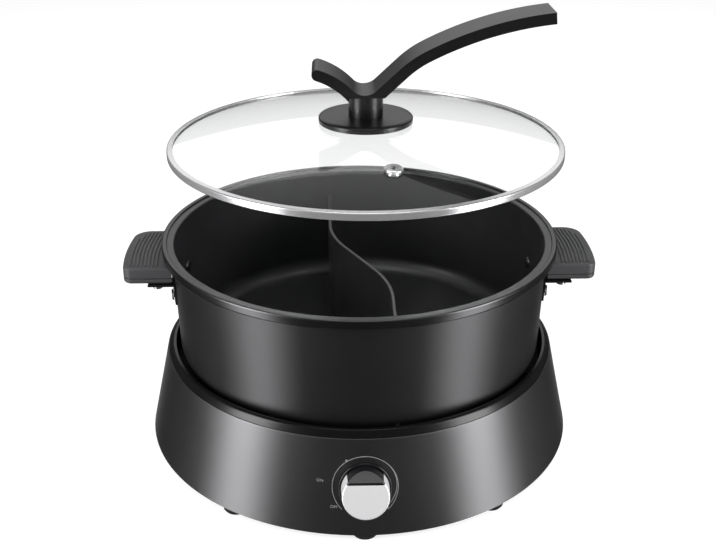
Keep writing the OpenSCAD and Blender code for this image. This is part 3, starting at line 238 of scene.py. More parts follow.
class HotPotStage(bpy.types.PropertyGroup):
    """Camera, floor and the light of the room."""
    camera_turn: angle("Camera turn", "How far the camera stands to the left of the front", 1.45)
    camera_away: length("Camera distance", "Level distance from the pot's axis", 811.3)
    camera_height: length("Camera height", "Height above the table", 517.4)
    camera_pitch: angle("Camera pitch", "How far the camera looks down", 25.04)
    camera_aside: length("Camera aside", "How far the camera is moved to its left", 1)
    lens: bpy.props.FloatProperty(
        name="Lens", description="Focal length in millimetres", default=54.0, min=1
    )
    floor_size: length("Floor", "Radius of the floor", 6000)
    floor_tone: share("Floor tone", "Brightness of the floor's own colour", 0.40)
    floor_glow: share("Floor glow", "Light that the floor adds where it is the background", 0.76)
    floor_gloss: share("Floor gloss", "How well the floor mirrors the lamps to the pot", 0.40)
    fill: share("Fill", "Strength of the soft light from all round", 0.40)
    mirror: share("Mirrored room", "How bright the room is in reflections", 0.12)


# ------------------------------------------------------------- mesh helpers

def shell_of(corners, steps, middle=0.0):
    """A body of revolution about the upright line at middle. Each corner is (radius, height,
    round) in metres. An outline that starts on the axis also ends there; others are closed."""
    bm = bmesh.new()
    verts = [bm.verts.new((radius, 0, height)) for radius, height, _ in corners]
    starts_off_axis = corners[0][0] > 0
    ends = verts[1:] + (verts[:1] if starts_off_axis else [])
    for a, b in zip(verts, ends):
        bm.edges.new((a, b))
    for size in sorted({corner[2] for corner in corners if corner[2]}):
        round_corners(bm, [v for v, corner in zip(verts, corners) if corner[2] == size], size)
    return spun(bm, steps, middle)


def spun(bm, steps, middle=0.0):
    """Turns a wire in the XZ plane once round Z into a closed skin, and moves it to middle."""
    bmesh.ops.spin(
        bm, geom=bm.verts[:] + bm.edges[:], cent=(0, 0, 0), axis=(0, 0, 1), dvec=(0, 0, 0),
        angle=2 * pi, steps=steps, use_merge=True, use_duplicate=False,
    )
    bmesh.ops.remove_doubles(bm, verts=bm.verts[:], dist=WELD)
    bmesh.ops.recalc_face_normals(bm, faces=bm.faces[:])
    return placed(bm, Matrix.Translation((middle, 0, 0)))


def round_corners(bm, verts, size, segments=6):
    """Rounds these corners of a wire."""
    bmesh.ops.bevel(
        bm, geom=verts, offset=size, offset_type="OFFSET", segments=segments, profile=0.5,
        affect="VERTICES", material=-1, clamp_overlap=True,
    )


def round_edges(bm, edges, size, segments):
    """Rounds these edges."""
    bmesh.ops.bevel(
        bm, geom=edges, offset=size, offset_type="OFFSET", segments=segments, profile=0.5,
        affect="EDGES", material=-1, clamp_overlap=True,
    )


def soften(bm, height, size, segments):
    """Rounds the sharp edges at one height."""
    rim = [e for e in bm.edges if len(e.link_faces) == 2 and e.calc_face_angle(0) > SHARP
           and all(abs(v.co.z - height) < HAIR for v in e.verts)]
    round_edges(bm, rim, size, segments)


def line_from(bm, vert, point):
    """Draws a straight edge from a vertex and returns its other end."""
    end = bm.verts.new(point)
    bm.edges.new((vert, end))
    return end


def arc_from(bm, vert, centre, turn, steps):
    """Draws an arc in the XZ plane from a vertex round a centre and returns its last vertex."""
    drawn = bmesh.ops.spin(
        bm, geom=[vert], cent=centre, axis=(0, 1, 0), dvec=(0, 0, 0), angle=turn, steps=steps,
        use_merge=False, use_duplicate=False,
    )["geom_last"]
    return next(v for v in drawn if isinstance(v, bmesh.types.BMVert))


def thickened(bm, way):
    """Extrudes a flat outline's faces into a solid along a vector."""
    grown = bmesh.ops.extrude_face_region(bm, geom=bm.faces[:])["geom"]
    fresh = [v for v in grown if isinstance(v, bmesh.types.BMVert)]
    bmesh.ops.translate(bm, vec=way, verts=fresh)
    bmesh.ops.recalc_face_normals(bm, faces=bm.faces[:])
    return bm


def carved(bm, cutter):
    """The solid without the space of another closed solid."""
    made = []
    for name, shape in (("carved", bm), ("cutter", cutter)):
        mesh = bpy.data.meshes.new(name)
        shape.to_mesh(mesh)
        shape.free()
        made.append(bpy.data.objects.new(name, mesh))
        bpy.context.scene.collection.objects.link(made[-1])
    solid, tool = made
    cut = solid.modifiers.new("cut", "BOOLEAN")
    cut.operation = "DIFFERENCE"
    cut.solver = "EXACT"
    cut.object = tool
    bpy.context.view_layer.update()
    left = bpy.data.meshes.new_from_object(
        solid.evaluated_get(bpy.context.evaluated_depsgraph_get())
    )
    result = bmesh.new()
    result.from_mesh(left)
    bpy.data.meshes.remove(left)
    for obj in made:
        mesh = obj.data
        bpy.data.objects.remove(obj)
        bpy.data.meshes.remove(mesh)
    return result


def block(low, high, rounding):
    """A box between two corners with rounded edges."""
    bm = bmesh.new()
    bmesh.ops.create_cube(bm, size=1)
    low, high = Vector(low), Vector(high)
    bmesh.ops.scale(bm, vec=high - low, verts=bm.verts[:])
    bmesh.ops.translate(bm, vec=(low + high) / 2, verts=bm.verts[:])
    round_edges(bm, bm.edges[:], rounding, segments=2)
    return bm


def placed(bm, matrix):
    """The same bmesh, moved by a matrix."""
    bmesh.ops.transform(bm, matrix=matrix, verts=bm.verts[:])
    return bm


def mirrored(bm):
    """The same bmesh mirrored to the other side of the pot."""
    bmesh.ops.scale(bm, vec=(-1, 1, 1), verts=bm.verts[:])
    bmesh.ops.reverse_faces(bm, faces=bm.faces[:])
    return bm


def piece(name, shells, body, finishes, replaces=(), sharp=35, even=True):
    """Joins bmeshes into one object that rides on a body and stands for CAD nodes. Edges that
    turn by more than sharp degrees stay hard; even weighs the shading by the size of faces."""
    whole = bmesh.new()
    for shell in shells:
        part = bpy.data.meshes.new(name)
        shell.to_mesh(part)
        shell.free()
        whole.from_mesh(part)
        bpy.data.meshes.remove(part)
    mesh = bpy.data.meshes.new(name)
    whole.to_mesh(mesh)
    whole.free()
    for material in finishes:
        mesh.materials.append(material)
    mesh.shade_smooth()
    mesh.set_sharp_from_angle(angle=radians(sharp))
    obj = bpy.data.objects.new(name, mesh)
    bpy.context.scene.collection.objects.link(obj)
    if even:
        obj.modifiers.new("even_shading", "WEIGHTED_NORMAL").keep_sharp = True
    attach(obj, body)
    if replaces:
        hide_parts(*replaces)


# ------------------------------------------------------------ shader helpers

def new_node(tree, kind, inputs=None, **settings):
    """Adds a shader node. inputs are values or output sockets, by the input's name or number."""
    node = tree.nodes.new(kind)
    for key, value in settings.items():
        setattr(node, key, value)
    for key, value in (inputs or {}).items():
        if isinstance(value, bpy.types.NodeSocket):
            tree.links.new(value, node.inputs[key])
        else:
            node.inputs[key].default_value = value
    return node


def new_group(name, inputs, outputs):
    """A node group with float, vector or colour sockets; returns its tree and its two end nodes."""
    tree = bpy.data.node_groups.new(name, "ShaderNodeTree")
    kinds = {"F": "NodeSocketFloat", "V": "NodeSocketVector", "C": "NodeSocketColor"}
    for label, kind in inputs:
        tree.interface.new_socket(label, in_out="INPUT", socket_type=kinds[kind])
    for label, kind in outputs:
        tree.interface.new_socket(label, in_out="OUTPUT", socket_type=kinds[kind])
    return tree, tree.nodes.new("NodeGroupInput"), tree.nodes.new("NodeGroupOutput")


def tone_group():
    """Cloudy change of colour and roughness, as on paint and plastic."""
    tree, given, out = new_group(
        "uneven_tone",
        [("Vector", "V"), ("Colour", "C"), ("Roughness", "F"), ("Scale", "F"),
         ("Colour spread", "F"), ("Roughness spread", "F")],
        [("Colour", "C"), ("Roughness", "F")],
    )
    cloud = new_node(tree, "ShaderNodeTexNoise", {
        "Vector": given.outputs["Vector"], "Scale": given.outputs["Scale"],
        "Detail": 4.0, "Roughness": 0.6,
    })
    centred = new_node(tree, "ShaderNodeMath", {0: cloud.outputs["Fac"], 1: 0.5},
                       operation="SUBTRACT")
    lighter = new_node(tree, "ShaderNodeMath", {
        0: centred.outputs[0], 1: given.outputs["Colour spread"], 2: 1.0,
    }, operation="MULTIPLY_ADD")
    tinted = new_node(tree, "ShaderNodeVectorMath", {
        0: given.outputs["Colour"], "Scale": lighter.outputs[0],
    }, operation="SCALE")
    rougher = new_node(tree, "ShaderNodeMath", {
        0: centred.outputs[0], 1: given.outputs["Roughness spread"], 2: given.outputs["Roughness"],
    }, operation="MULTIPLY_ADD")
    tree.links.new(tinted.outputs[0], out.inputs["Colour"])
    tree.links.new(rougher.outputs[0], out.inputs["Roughness"])
    return tree


def grain_group():
    """Fine pebbled grain of moulded plastic and powder paint."""
    tree, given, out = new_group(
        "fine_grain", [("Vector", "V"), ("Scale", "F")], [("Height", "F")]
    )
    cells = new_node(tree, "ShaderNodeTexVoronoi", {
        "Vector": given.outputs["Vector"], "Scale": given.outputs["Scale"],
    }, feature="SMOOTH_F1")
    fine = new_node(tree, "ShaderNodeTexNoise", {
        "Vector": given.outputs["Vector"], "Scale": given.outputs["Scale"], "Detail": 3.0,
    })
    both = new_node(tree, "ShaderNodeMath", {
        0: cells.outputs["Distance"], 1: fine.outputs["Fac"],
    }, operation="ADD")
    tree.links.new(both.outputs[0], out.inputs["Height"])
    return tree


def turned_group():
    """Fine rings round the Z axis of the vector, as a lathe or a polishing wheel leaves them."""
    tree, given, out = new_group(
        "turned_lines", [("Vector", "V"), ("Scale", "F")], [("Height", "F")]
    )
    flat = new_node(tree, "ShaderNodeVectorMath", {
        0: given.outputs["Vector"], 1: (1, 1, 0),
    }, operation="MULTIPLY")
    reach = new_node(tree, "ShaderNodeVectorMath", {0: flat.outputs[0]}, operation="LENGTH")
    lines = new_node(tree, "ShaderNodeTexNoise", {
        "W": reach.outputs["Value"], "Scale": given.outputs["Scale"], "Detail": 2.0,
    }, noise_dimensions="1D")
    tree.links.new(lines.outputs["Fac"], out.inputs["Height"])
    return tree


def use_group(tree, name, maker, inputs):
    """Places a shared node group, and makes it the first time."""
    group = bpy.data.node_groups.get(name) or maker()
    return new_node(tree, "ShaderNodeGroup", inputs, node_tree=group)


def uneven_material(name, tint, roughness, tone, patches, rough_spread, place=None):
    """A material whose colour and roughness change in patches. Returns it with its tree, its
    shader and the vector of its patterns."""
    material = bpy.data.materials.new(name)
    material.use_nodes = True
    tree = material.node_tree
    shader = tree.nodes["Principled BSDF"]
    where = new_node(tree, "ShaderNodeTexCoord").outputs["Object"]
    if place:
        move, turn = place
        where = new_node(tree, "ShaderNodeMapping", {
            "Vector": where, "Location": move, "Rotation": turn,
        }, vector_type="TEXTURE").outputs[0]
    mottle = use_group(tree, "uneven_tone", tone_group, {
        "Vector": where, "Colour": (*tint, 1), "Roughness": roughness, "Scale": patches,
        "Colour spread": tone, "Roughness spread": rough_spread,
    })
    tree.links.new(mottle.outputs["Colour"], shader.inputs["Base Color"])
    tree.links.new(mottle.outputs["Roughness"], shader.inputs["Roughness"])
    return material, tree, shader, where


def finish(name, tint, roughness, metallic=0.0, specular=0.5, tone=0.25, patches=18.0,
           rough_spread=0.08, grain=None, rings=None, place=None):
    """An opaque material: an uneven colour, and a fine grain or turned rings in its relief.
    grain and rings are how many per metre and how deep in millimetres; patches are per metre.
    place moves and turns the pattern onto a piece."""
    known = bpy.data.materials.get(name + "_finish")
    if known:
        return known
    material, tree, shader, where = uneven_material(
        name + "_finish", tint, roughness, tone, patches, rough_spread, place
    )
    shader.inputs["Metallic"].default_value = metallic
    shader.inputs["Specular IOR Level"].default_value = specular
    normal = None
    reliefs = ((grain, "fine_grain", grain_group), (rings, "turned_lines", turned_group))
    for relief, group, maker in reliefs:
        if relief:
            per_metre, depth = relief
            pattern = use_group(tree, group, maker, {"Vector": where, "Scale": per_metre})
            bump = {"Height": pattern.outputs[0], "Distance": depth * MM, "Strength": 1.0}
            if normal:
                bump["Normal"] = normal
            normal = new_node(tree, "ShaderNodeBump", bump).outputs[0]
    if normal:
        tree.links.new(normal, shader.inputs["Normal"])
    return material


def dress(material, *nodes):
    """Gives CAD nodes a finish."""
    for node in nodes:
        slots = NODES[node].data.materials
        if slots:
            slots[0] = material
        else:
            slots.append(material)


# -------------------------------------------------------------- measurements

class Round:
    """Middle along X, radius, foot and top of a round node."""

    def __init__(self, node):
        low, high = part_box(node)
        self.middle = (low.x + high.x) / 2
        self.radius = (high.x - low.x) / 2
        self.foot = low.z
        self.top = high.z


class Cone:
    """The base's conical wall."""
    foot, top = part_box("base_shell")[0].z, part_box("base_shell")[1].z
    foot_radius, top_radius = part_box("base_shell")[1].x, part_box("top_ring")[1].x

    @classmethod
    def radius(cls, z):
        """The wall's radius at a height."""
        up = (z - cls.foot) / (cls.top - cls.foot)
        return cls.foot_radius + up * (cls.top_radius - cls.foot_radius)


class Dial:
    """The dial's own frame on the cone: centre, outward normal and up."""
    joint = next(j for j in frame["joints"] if j["name"] == "dial_turn")
    centre = Vector(joint["pos_m"])
    normal = -Vector(joint["axis"]).normalized()
    up = Vector((1, 0, 0)).cross(normal) * -1
    axes = Matrix((up.cross(normal), up, normal)).transposed().to_4x4()
    place = Matrix.Translation(centre) @ axes

    @classmethod
    def printed(cls, bm):
        """Lays a thin flat solid of the dial's plane onto the cone."""
        placed(bm, cls.place)
        for v in bm.verts:
            height = (v.co - cls.centre).dot(cls.normal)
            v.co.y = -sqrt(Cone.radius(v.co.z) ** 2 - v.co.x ** 2)
            v.co += height * cls.normal
        return bm


# ------------------------------------------------------------------ finishes

def clear_glass(colours):
    """Clear tempered glass, whose shadow is only part dark."""
    material, tree, shader, _ = uneven_material(
        "lid_glass_finish", colours.glass, 0.015, tone=0.01, patches=9.0, rough_spread=0.02
    )
    shader.inputs["Transmission Weight"].default_value = 1.0
    shader.inputs["IOR"].default_value = 1.3
    path = new_node(tree, "ShaderNodeLightPath")
    opacity = new_node(tree, "ShaderNodeMapRange", {
        "Value": path.outputs["Is Shadow Ray"], "To Min": 1.0, "To Max": 0.4,
    })
    tree.links.new(opacity.outputs[0], shader.inputs["Alpha"])
    return material


def satin_housing(colours):
    return finish("housing", colours.housing, 0.37, metallic=1.0, tone=0.10, rough_spread=0.04,
                  grain=(2600, 0.01))


def satin_ring(colours):
    return finish("ring", colours.ring, 0.24, specular=0.3, grain=(2600, 0.01))


def matte_ring_wall(colours):
    return finish("ring_wall", colours.ring, 0.75, specular=0.1, grain=(1500, 0.02))


def satin_enamel(colours):
    return finish("enamel", colours.enamel, 0.42, metallic=1.0, tone=0.10, rough_spread=0.04,
                  grain=(2200, 0.01))


def rim_enamel(colours):
    return finish("rim_enamel", colours.enamel, 0.30, metallic=1.0, tone=0.10,
                  grain=(2200, 0.01))


def nonstick(colours):
    return finish("nonstick", colours.nonstick, 0.36, specular=0.45, tone=0.5, patches=60,
                  grain=(1500, 0.012), rings=(420, 0.01))


def grip_plastic(colours):
    return finish("grip", colours.grip, 0.48, specular=0.4, grain=(1800, 0.08))


def bakelite(colours):
    return finish("bakelite", colours.bakelite, 0.32, specular=0.4, grain=(2600, 0.01))


def brushed_band(colours):
    return finish("band_steel", colours.steel, 0.24, metallic=0.8, tone=0.10, patches=30,
                  rings=(2600, 0.03), place=((Round("lid_rim").middle, 0, 0), (0, 0, 0)))


def turned_silver(colours):
    return finish("knob", colours.knob, 0.34, metallic=0.35, tone=0.06, patches=40,
                  rings=(5200, 0.015), place=(Dial.centre, Dial.place.to_euler()))


def gloss_black(colours):
    return finish("gloss", colours.gloss, 0.18, specular=0.5, tone=0.2)


def printed_ink(colours):
    return finish("ink", colours.ink, 0.5, tone=0.1, patches=300)


def coated_steel(colours):
    return finish("coated_steel", colours.ring, 0.38, specular=0.45, grain=(1600, 0.05))


# ---------------------------------------------------------------- operators

class HOTPOT_OT_pot(bpy.types.Operator):
    """Model the pot: coated wall, rolled rim and floor"""
    bl_idname = "hotpot.pot"
    bl_label = "Pot"

    def execute(self, context):
        sizes, colours = context.scene.hotpot_pot, context.scene.hotpot_colours
        low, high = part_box("pot_shell")
        rim, top, foot = high.x, high.z, low.z
        wall = rim - sizes.rim_width
        inner = wall - sizes.wall
        heel = wall - sizes.wall_taper
        under_rim = top - sizes.rim_height
        lip = rim - sizes.lip_width
        seat = top - sizes.seat_drop
        pot = shell_of([
            (0, foot, 0),
            (heel, foot, sizes.corner),
            (wall, under_rim, sizes.neck_round),
            (rim, under_rim, sizes.rim_round),
            (rim, top, sizes.crown_round),
            (lip, top, sizes.lip_round),
            (lip, seat, sizes.seat_round),
            (inner, seat, sizes.mouth_round),
            (heel - sizes.wall, foot + sizes.wall, sizes.corner - sizes.wall),
            (0, foot + sizes.wall, 0),
        ], steps=192)
        finishes = [satin_enamel(colours), rim_enamel(colours), nonstick(colours)]
        rim_foot, mouth = under_rim - MM, inner + 0.2 * MM
        for face in pot.faces:
            middle = face.calc_center_median()
            faces_in = face.normal.xy.dot(middle.xy) < 0
            faces_up = face.normal.z > 0.5 and middle.z < seat
            if middle.z > rim_foot and middle.xy.length > mouth:
                face.material_index = 1
            elif (faces_in or faces_up) and middle.z > foot + MM:
                face.material_index = 2
        piece("pot_body", [pot], "pot", finishes, ["pot_shell"])
        return {"FINISHED"}


class HOTPOT_OT_divider(bpy.types.Operator):
    """Model the S-shaped wall that parts the pot in two"""
    bl_idname = "hotpot.divider"
    bl_label = "Divider"

    def execute(self, context):
        sizes, colours = context.scene.hotpot_pot, context.scene.hotpot_colours
        low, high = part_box("divider")
        offset, slant, bend = sizes.divider_offset, sizes.divider_angle, sizes.divider_bend
        tangent = bend * tan(slant / 2)
        bend_y = offset / tan(slant) + tangent
        middle_length = 2 * (offset / sin(slant) - tangent)
        ahead = Vector((-sin(slant), cos(slant), 0)) * middle_length
        half = sizes.divider_width / 2
        bm = bmesh.new()
        start = [bm.verts.new((offset + side * half, low.y, high.z)) for side in (-1, 1)]
        row = [bm.edges.new(start)]
        row = self.forward(bm, row, (0, -bend_y - low.y, 0))
        row = self.bend(bm, row, (offset - bend, -bend_y, 0), slant)
        row = self.forward(bm, row, ahead)
        row = self.bend(bm, row, (bend - offset, bend_y, 0), -slant)
        self.forward(bm, row, (0, high.y - bend_y, 0))
        bmesh.ops.remove_doubles(bm, verts=bm.verts[:], dist=WELD)
        bmesh.ops.recalc_face_normals(bm, faces=bm.faces[:])
        thickened(bm, (0, 0, low.z - high.z))
        soften(bm, high.z, sizes.divider_edge, segments=3)
        piece("divider_wall", [bm], "pot", [nonstick(colours)], ["divider"])
        return {"FINISHED"}

    @staticmethod
    def edges_of(geometry):
        """The edges among the elements of a bmesh."""
        return [e for e in geometry if isinstance(e, bmesh.types.BMEdge)]

    def forward(self, bm, row, way):
        """Extends the wall straight ahead from its last row of edges and returns the new row."""
        grown = bmesh.ops.extrude_edge_only(bm, edges=row)["geom"]
        verts = [v for v in grown if isinstance(v, bmesh.types.BMVert)]
        bmesh.ops.translate(bm, vec=way, verts=verts)
        return self.edges_of(grown)

    def bend(self, bm, row, centre, turn):
        """Extends the wall round a bend from its last row of edges and returns the new row."""
        verts = list({v for e in row for v in e.verts})
        grown = bmesh.ops.spin(
            bm, geom=verts + list(row), cent=centre, axis=(0, 0, 1), dvec=(0, 0, 0),
            angle=turn, steps=16, use_merge=False, use_duplicate=False,
        )["geom_last"]
        return self.edges_of(grown)


class HOTPOT_OT_grips(bpy.types.Operator):
    """Model the two ribbed grips"""
    bl_idname = "hotpot.grips"
    bl_label = "Grips"

    def execute(self, context):
        sizes, colours = context.scene.hotpot_pot, context.scene.hotpot_colours
        finishes = [grip_plastic(colours)]
        right = self.grip(sizes)
        left = [mirrored(bm) for bm in self.grip(sizes)]
        piece("grip_right", right, "pot", finishes, ["right_handle"])
        piece("grip_left", left, "pot", finishes, ["left_handle"])
        return {"FINISHED"}

    def grip(self, sizes):
        """The right grip: two mouldings with a groove between them, and the ribs on top."""
        low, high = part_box("right_handle")
        groove = low.z + sizes.grip_lower
        core_top = high.z - 2 * sizes.rib_height
        core = self.slab(sizes, low.z + sizes.grip_seam, core_top, sizes.grip_seam)
        lower = self.slab(sizes, low.z, groove)
        soften(lower, low.z, sizes.grip_edge, segments=5)
        upper = self.slab(sizes, groove + sizes.grip_seam, high.z)
        panel = [max(upper.faces, key=lambda f: f.calc_center_median().z)]
        bmesh.ops.inset_region(
            upper, faces=panel, thickness=sizes.grip_frame, use_even_offset=True
        )
        bmesh.ops.translate(upper, vec=(0, 0, -sizes.rib_height), verts=panel[0].verts[:])
        soften(upper, high.z, sizes.grip_edge, segments=5)
        return [lower, core, upper] + self.ribs(sizes)

    def slab(self, sizes, bottom, top, inset=0.0):
        """A level layer of the grip between two heights, its sides drawn in by inset."""
        low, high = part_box("right_handle")
        half, outer = (high.y - low.y) / 2 - inset, high.x - inset
        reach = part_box("pot_shell")[1].x - sizes.rim_width + sizes.grip_strap
        back = sqrt(reach ** 2 - half ** 2)
        bm = bmesh.new()
        outline = [(back, -half), (outer, -half), (outer, half), (back, half)]
        corners = [bm.verts.new((x, y, bottom)) for x, y in outline]
        for a, b in zip(corners, corners[1:] + corners[:1]):
            bm.edges.new((a, b))
        round_corners(bm, [corners[1]], sizes.grip_front, segments=8)
        round_corners(bm, [corners[2]], sizes.grip_rear, segments=8)
        for x in (back, outer):
            side = [e for e in bm.edges if all(abs(v.co.x - x) < HAIR for v in e.verts)]
            bmesh.ops.subdivide_edges(bm, edges=side, cuts=15)
        for v in bm.verts:
            if v.co.x < back + HAIR:
                v.co.x = sqrt(reach ** 2 - v.co.y ** 2)
            else:
                v.co.x -= self.bow(sizes, v.co.y)
        bmesh.ops.edgeloop_fill(bm, edges=bm.edges[:])
        return thickened(bm, (0, 0, top - bottom))

    @staticmethod
    def bow(sizes, y):
        """How far the bowed outer side has drawn in at a distance from the grip's middle."""
        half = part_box("right_handle")[1].y
        radius = (half ** 2 + sizes.grip_bow ** 2) / (2 * sizes.grip_bow)
        return radius - sqrt(radius ** 2 - y ** 2)

    def ribs(self, sizes):
        """Ribs on the grip's panel, bowed as its outer side; the outer ones end at its corner."""
        low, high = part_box("right_handle")
        half = (high.y - low.y) / 2
        inset = sizes.grip_frame + sizes.rib_gap
        root = high.z - sizes.rib_height - sizes.rib_root
        ribs = []
        for number in range(sizes.rib_count):
            outer = high.x - inset - number * sizes.rib_pitch
            past = max(sizes.grip_rear - number * sizes.rib_pitch, 0)
            cut = sizes.grip_rear - sqrt(sizes.grip_rear ** 2 - past ** 2)
            rib = block(
                (outer - sizes.rib_width, -half + inset, root),
                (outer, half - inset - cut, high.z),
                sizes.rib_edge,
            )
            along = [e for e in rib.edges if abs(e.verts[0].co.y - e.verts[1].co.y) > half]
            bmesh.ops.subdivide_edges(rib, edges=along, cuts=11)
            for v in rib.verts:
                v.co.x -= self.bow(sizes, v.co.y)
            ribs.append(rib)
        return ribs


class HOTPOT_OT_lid(bpy.types.Operator):
    """Model the glass, the steel band round it and the disc under the handle"""
    bl_idname = "hotpot.lid"
    bl_label = "Lid"

    def execute(self, context):
        sizes, colours = context.scene.hotpot_lid, context.scene.hotpot_colours
        middle = Round("lid_rim").middle
        piece("glass_dome", [self.glass(sizes, middle)], "lid",
              [clear_glass(colours)], ["lid_glass"], even=False)
        piece("steel_band", [self.band(sizes, middle)], "lid",
              [brushed_band(colours)], ["lid_rim"])
        piece("lid_disc", [self.disc(sizes, middle)], "lid",
              [bakelite(colours)], ["handle_disc"])
        return {"FINISHED"}

    @staticmethod
    def glass(sizes, middle):
        """The glass dome with its two holes."""
        whole = Round("lid_glass")
        bore, thickness = sizes.glass_bore, sizes.glass_thickness
        dome = (whole.radius ** 2 + sizes.glass_rise ** 2) / (2 * sizes.glass_rise)
        centre = Vector((0, 0, whole.top - dome))
        start = Vector((bore, 0, centre.z + sqrt(dome ** 2 - bore ** 2)))
        sweep = asin(whole.radius / dome) - asin(bore / dome)
        bm = bmesh.new()
        ends = []
        for shift in (Vector(), Vector((0, 0, -thickness))):
            first = bm.verts.new(start + shift)
            ends.append((first, arc_from(bm, first, centre + shift, sweep, steps=48)))
        bm.edges.new((ends[0][0], ends[1][0]))
        bm.edges.new((ends[0][1], ends[1][1]))
        round_corners(bm, [ends[0][1], ends[1][1]], sizes.glass_edge)
        spun(bm, steps=192, middle=middle)
        vent = sum(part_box("vent_grommet"), Vector()) / 2
        outwards = vent - (centre + Vector((middle, 0, 0)))
        turn = outwards.to_track_quat("Z", "Y").to_matrix().to_4x4()
        drill = bmesh.new()
        bmesh.ops.create_cone(drill, cap_ends=True, segments=48, radius1=sizes.vent_bore,
                              radius2=sizes.vent_bore, depth=5 * thickness)
        return carved(bm, placed(drill, Matrix.Translation(vent) @ turn))

    @staticmethod
    def band(sizes, middle):
        """The steel band that grips the glass's edge."""
        rim = Round("lid_rim")
        inner = rim.radius - sizes.band_width
        beside_glass = rim.radius - sizes.band_wall
        below_glass = rim.foot + sizes.band_wall
        return shell_of([
            (inner, rim.foot, 0),
            (rim.radius, rim.foot, sizes.band_round),
            (rim.radius, rim.top - sizes.band_fall, sizes.band_round),
            (inner, rim.top, sizes.band_lip_round),
            (inner, rim.top - sizes.band_lip, 0),
            (beside_glass, rim.top - sizes.band_inside, 0),
            (beside_glass, below_glass, 0),
            (inner, below_glass, 0),
        ], steps=192, middle=middle)

    @staticmethod
    def disc(sizes, middle):
        """The disc under the handle's column, with its skirt down to the glass."""
        disc = Round("handle_disc")
        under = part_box("disc_gasket")[1].z
        skirt = disc.radius - sizes.disc_skirt
        return shell_of([
            (sizes.disc_bore, under, 0),
            (skirt, under, 0),
            (skirt, disc.foot, sizes.skirt_inside),
            (disc.radius, disc.foot, sizes.skirt_outside),
            (disc.radius, disc.top - sizes.disc_shoulder, sizes.disc_shoulder),
            (disc.radius - sizes.disc_slope, disc.top, sizes.disc_crown),
            (sizes.disc_bore, disc.top, 0),
        ], steps=128, middle=middle)


class HOTPOT_OT_lid_handle(bpy.types.Operator):
    """Model the tick-shaped lid handle and its column"""
    bl_idname = "hotpot.lid_handle"
    bl_label = "Lid handle"

    def execute(self, context):
        sizes, colours = context.scene.hotpot_lid, context.scene.hotpot_colours
        low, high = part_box("lid_handle")
        disc = Round("handle_disc")
        top = disc.top + sizes.column_height
        shoulder = top - sizes.web_depth
        column = shell_of([
            (0, disc.top, 0),
            (sizes.column_radius, disc.top, 0),
            (sizes.column_radius, shoulder, 0),
            (0, shoulder, 0),
        ], steps=96, middle=disc.middle)
        bars = self.tick(sizes, disc.middle, top)
        bmesh.ops.translate(bars, vec=(0, low.y, 0), verts=bars.verts[:])
        thickened(bars, (0, high.y - low.y, 0))
        long_edges = [e for e in bars.edges
                      if abs(e.verts[0].co.y - e.verts[1].co.y) < HAIR]
        round_edges(bars, long_edges, sizes.bar_edge, segments=4)
        piece("lift_handle", [column, bars], "lid", [bakelite(colours)],
              ["lid_handle"], sharp=50)
        return {"FINISHED"}

    def tick(self, sizes, middle, top):
        """The two limbs from the side, as one face in the XZ plane."""
        valley, under = top + sizes.web_rise, top - sizes.web_depth
        half = sizes.bar_thickness / 2
        bm = bmesh.new()
        long_ends = self.limb(
            bm, Vector((middle + sizes.root_reach, 0, top - sizes.long_drop)), 1, half,
            sizes.long_steep, sizes.long_root,
            [(sizes.long_bend, sizes.long_middle), (sizes.long_outer, sizes.long_tip)],
            valley, under,
        )
        short_ends = self.limb(
            bm, Vector((middle - sizes.root_reach, 0, top - sizes.short_drop)), -1, half,
            sizes.short_steep, sizes.short_root, [(sizes.short_bend, sizes.short_tip)],
            valley, under, rounded=True,
        )
        for a, b in zip(long_ends, short_ends):
            bm.edges.new((a, b))
        round_corners(bm, [long_ends[0]], sizes.valley_round, segments=8)
        round_corners(bm, [short_ends[0]], sizes.valley_round, segments=8)
        bmesh.ops.edgeloop_fill(bm, edges=bm.edges[:])
        return bm

    @staticmethod
    def limb(bm, root, side, half, steep, straight, bends, valley, under, rounded=False):
        """Draws one limb's outline towards +X or -X, from the valley round its tip to the height
        of its underside's root, and returns the outline's two ends. A square-tipped limb starts
        on the valley's floor, a round-tipped one at the end of its straight root."""
        ahead = Vector((side * cos(steep), 0, sin(steep)))
        across = half * Vector((-side * sin(steep), 0, cos(steep)))
        knee = root + ahead * straight
        upper, lower = knee + across, knee - across
        bend_steps = 7 if rounded else 24
        if rounded:
            first = pen = bm.verts.new(upper)
        else:
            first = bm.verts.new(upper - ahead * (upper.z - valley) / ahead.z)
            pen = line_from(bm, first, upper)
        point, slope, arcs = knee, steep, []
        for radius, after in bends:
            centre = point + radius * Vector((side * sin(slope), 0, -cos(slope)))
            arcs.append((centre, side * (slope - after)))
            point = centre + radius * Vector((-side * sin(after), 0, cos(after)))
            slope = after
        for centre, turn in arcs:
            pen = arc_from(bm, pen, centre, turn, bend_steps)
        if rounded:
            pen = arc_from(bm, pen, point, side * pi, steps=16)
        else:
            pen = line_from(bm, pen, 2 * point - pen.co)
        for centre, turn in reversed(arcs):
            pen = arc_from(bm, pen, centre, -turn, bend_steps)
        last = line_from(bm, pen, lower - ahead * (lower.z - under) / ahead.z)
        return first, last


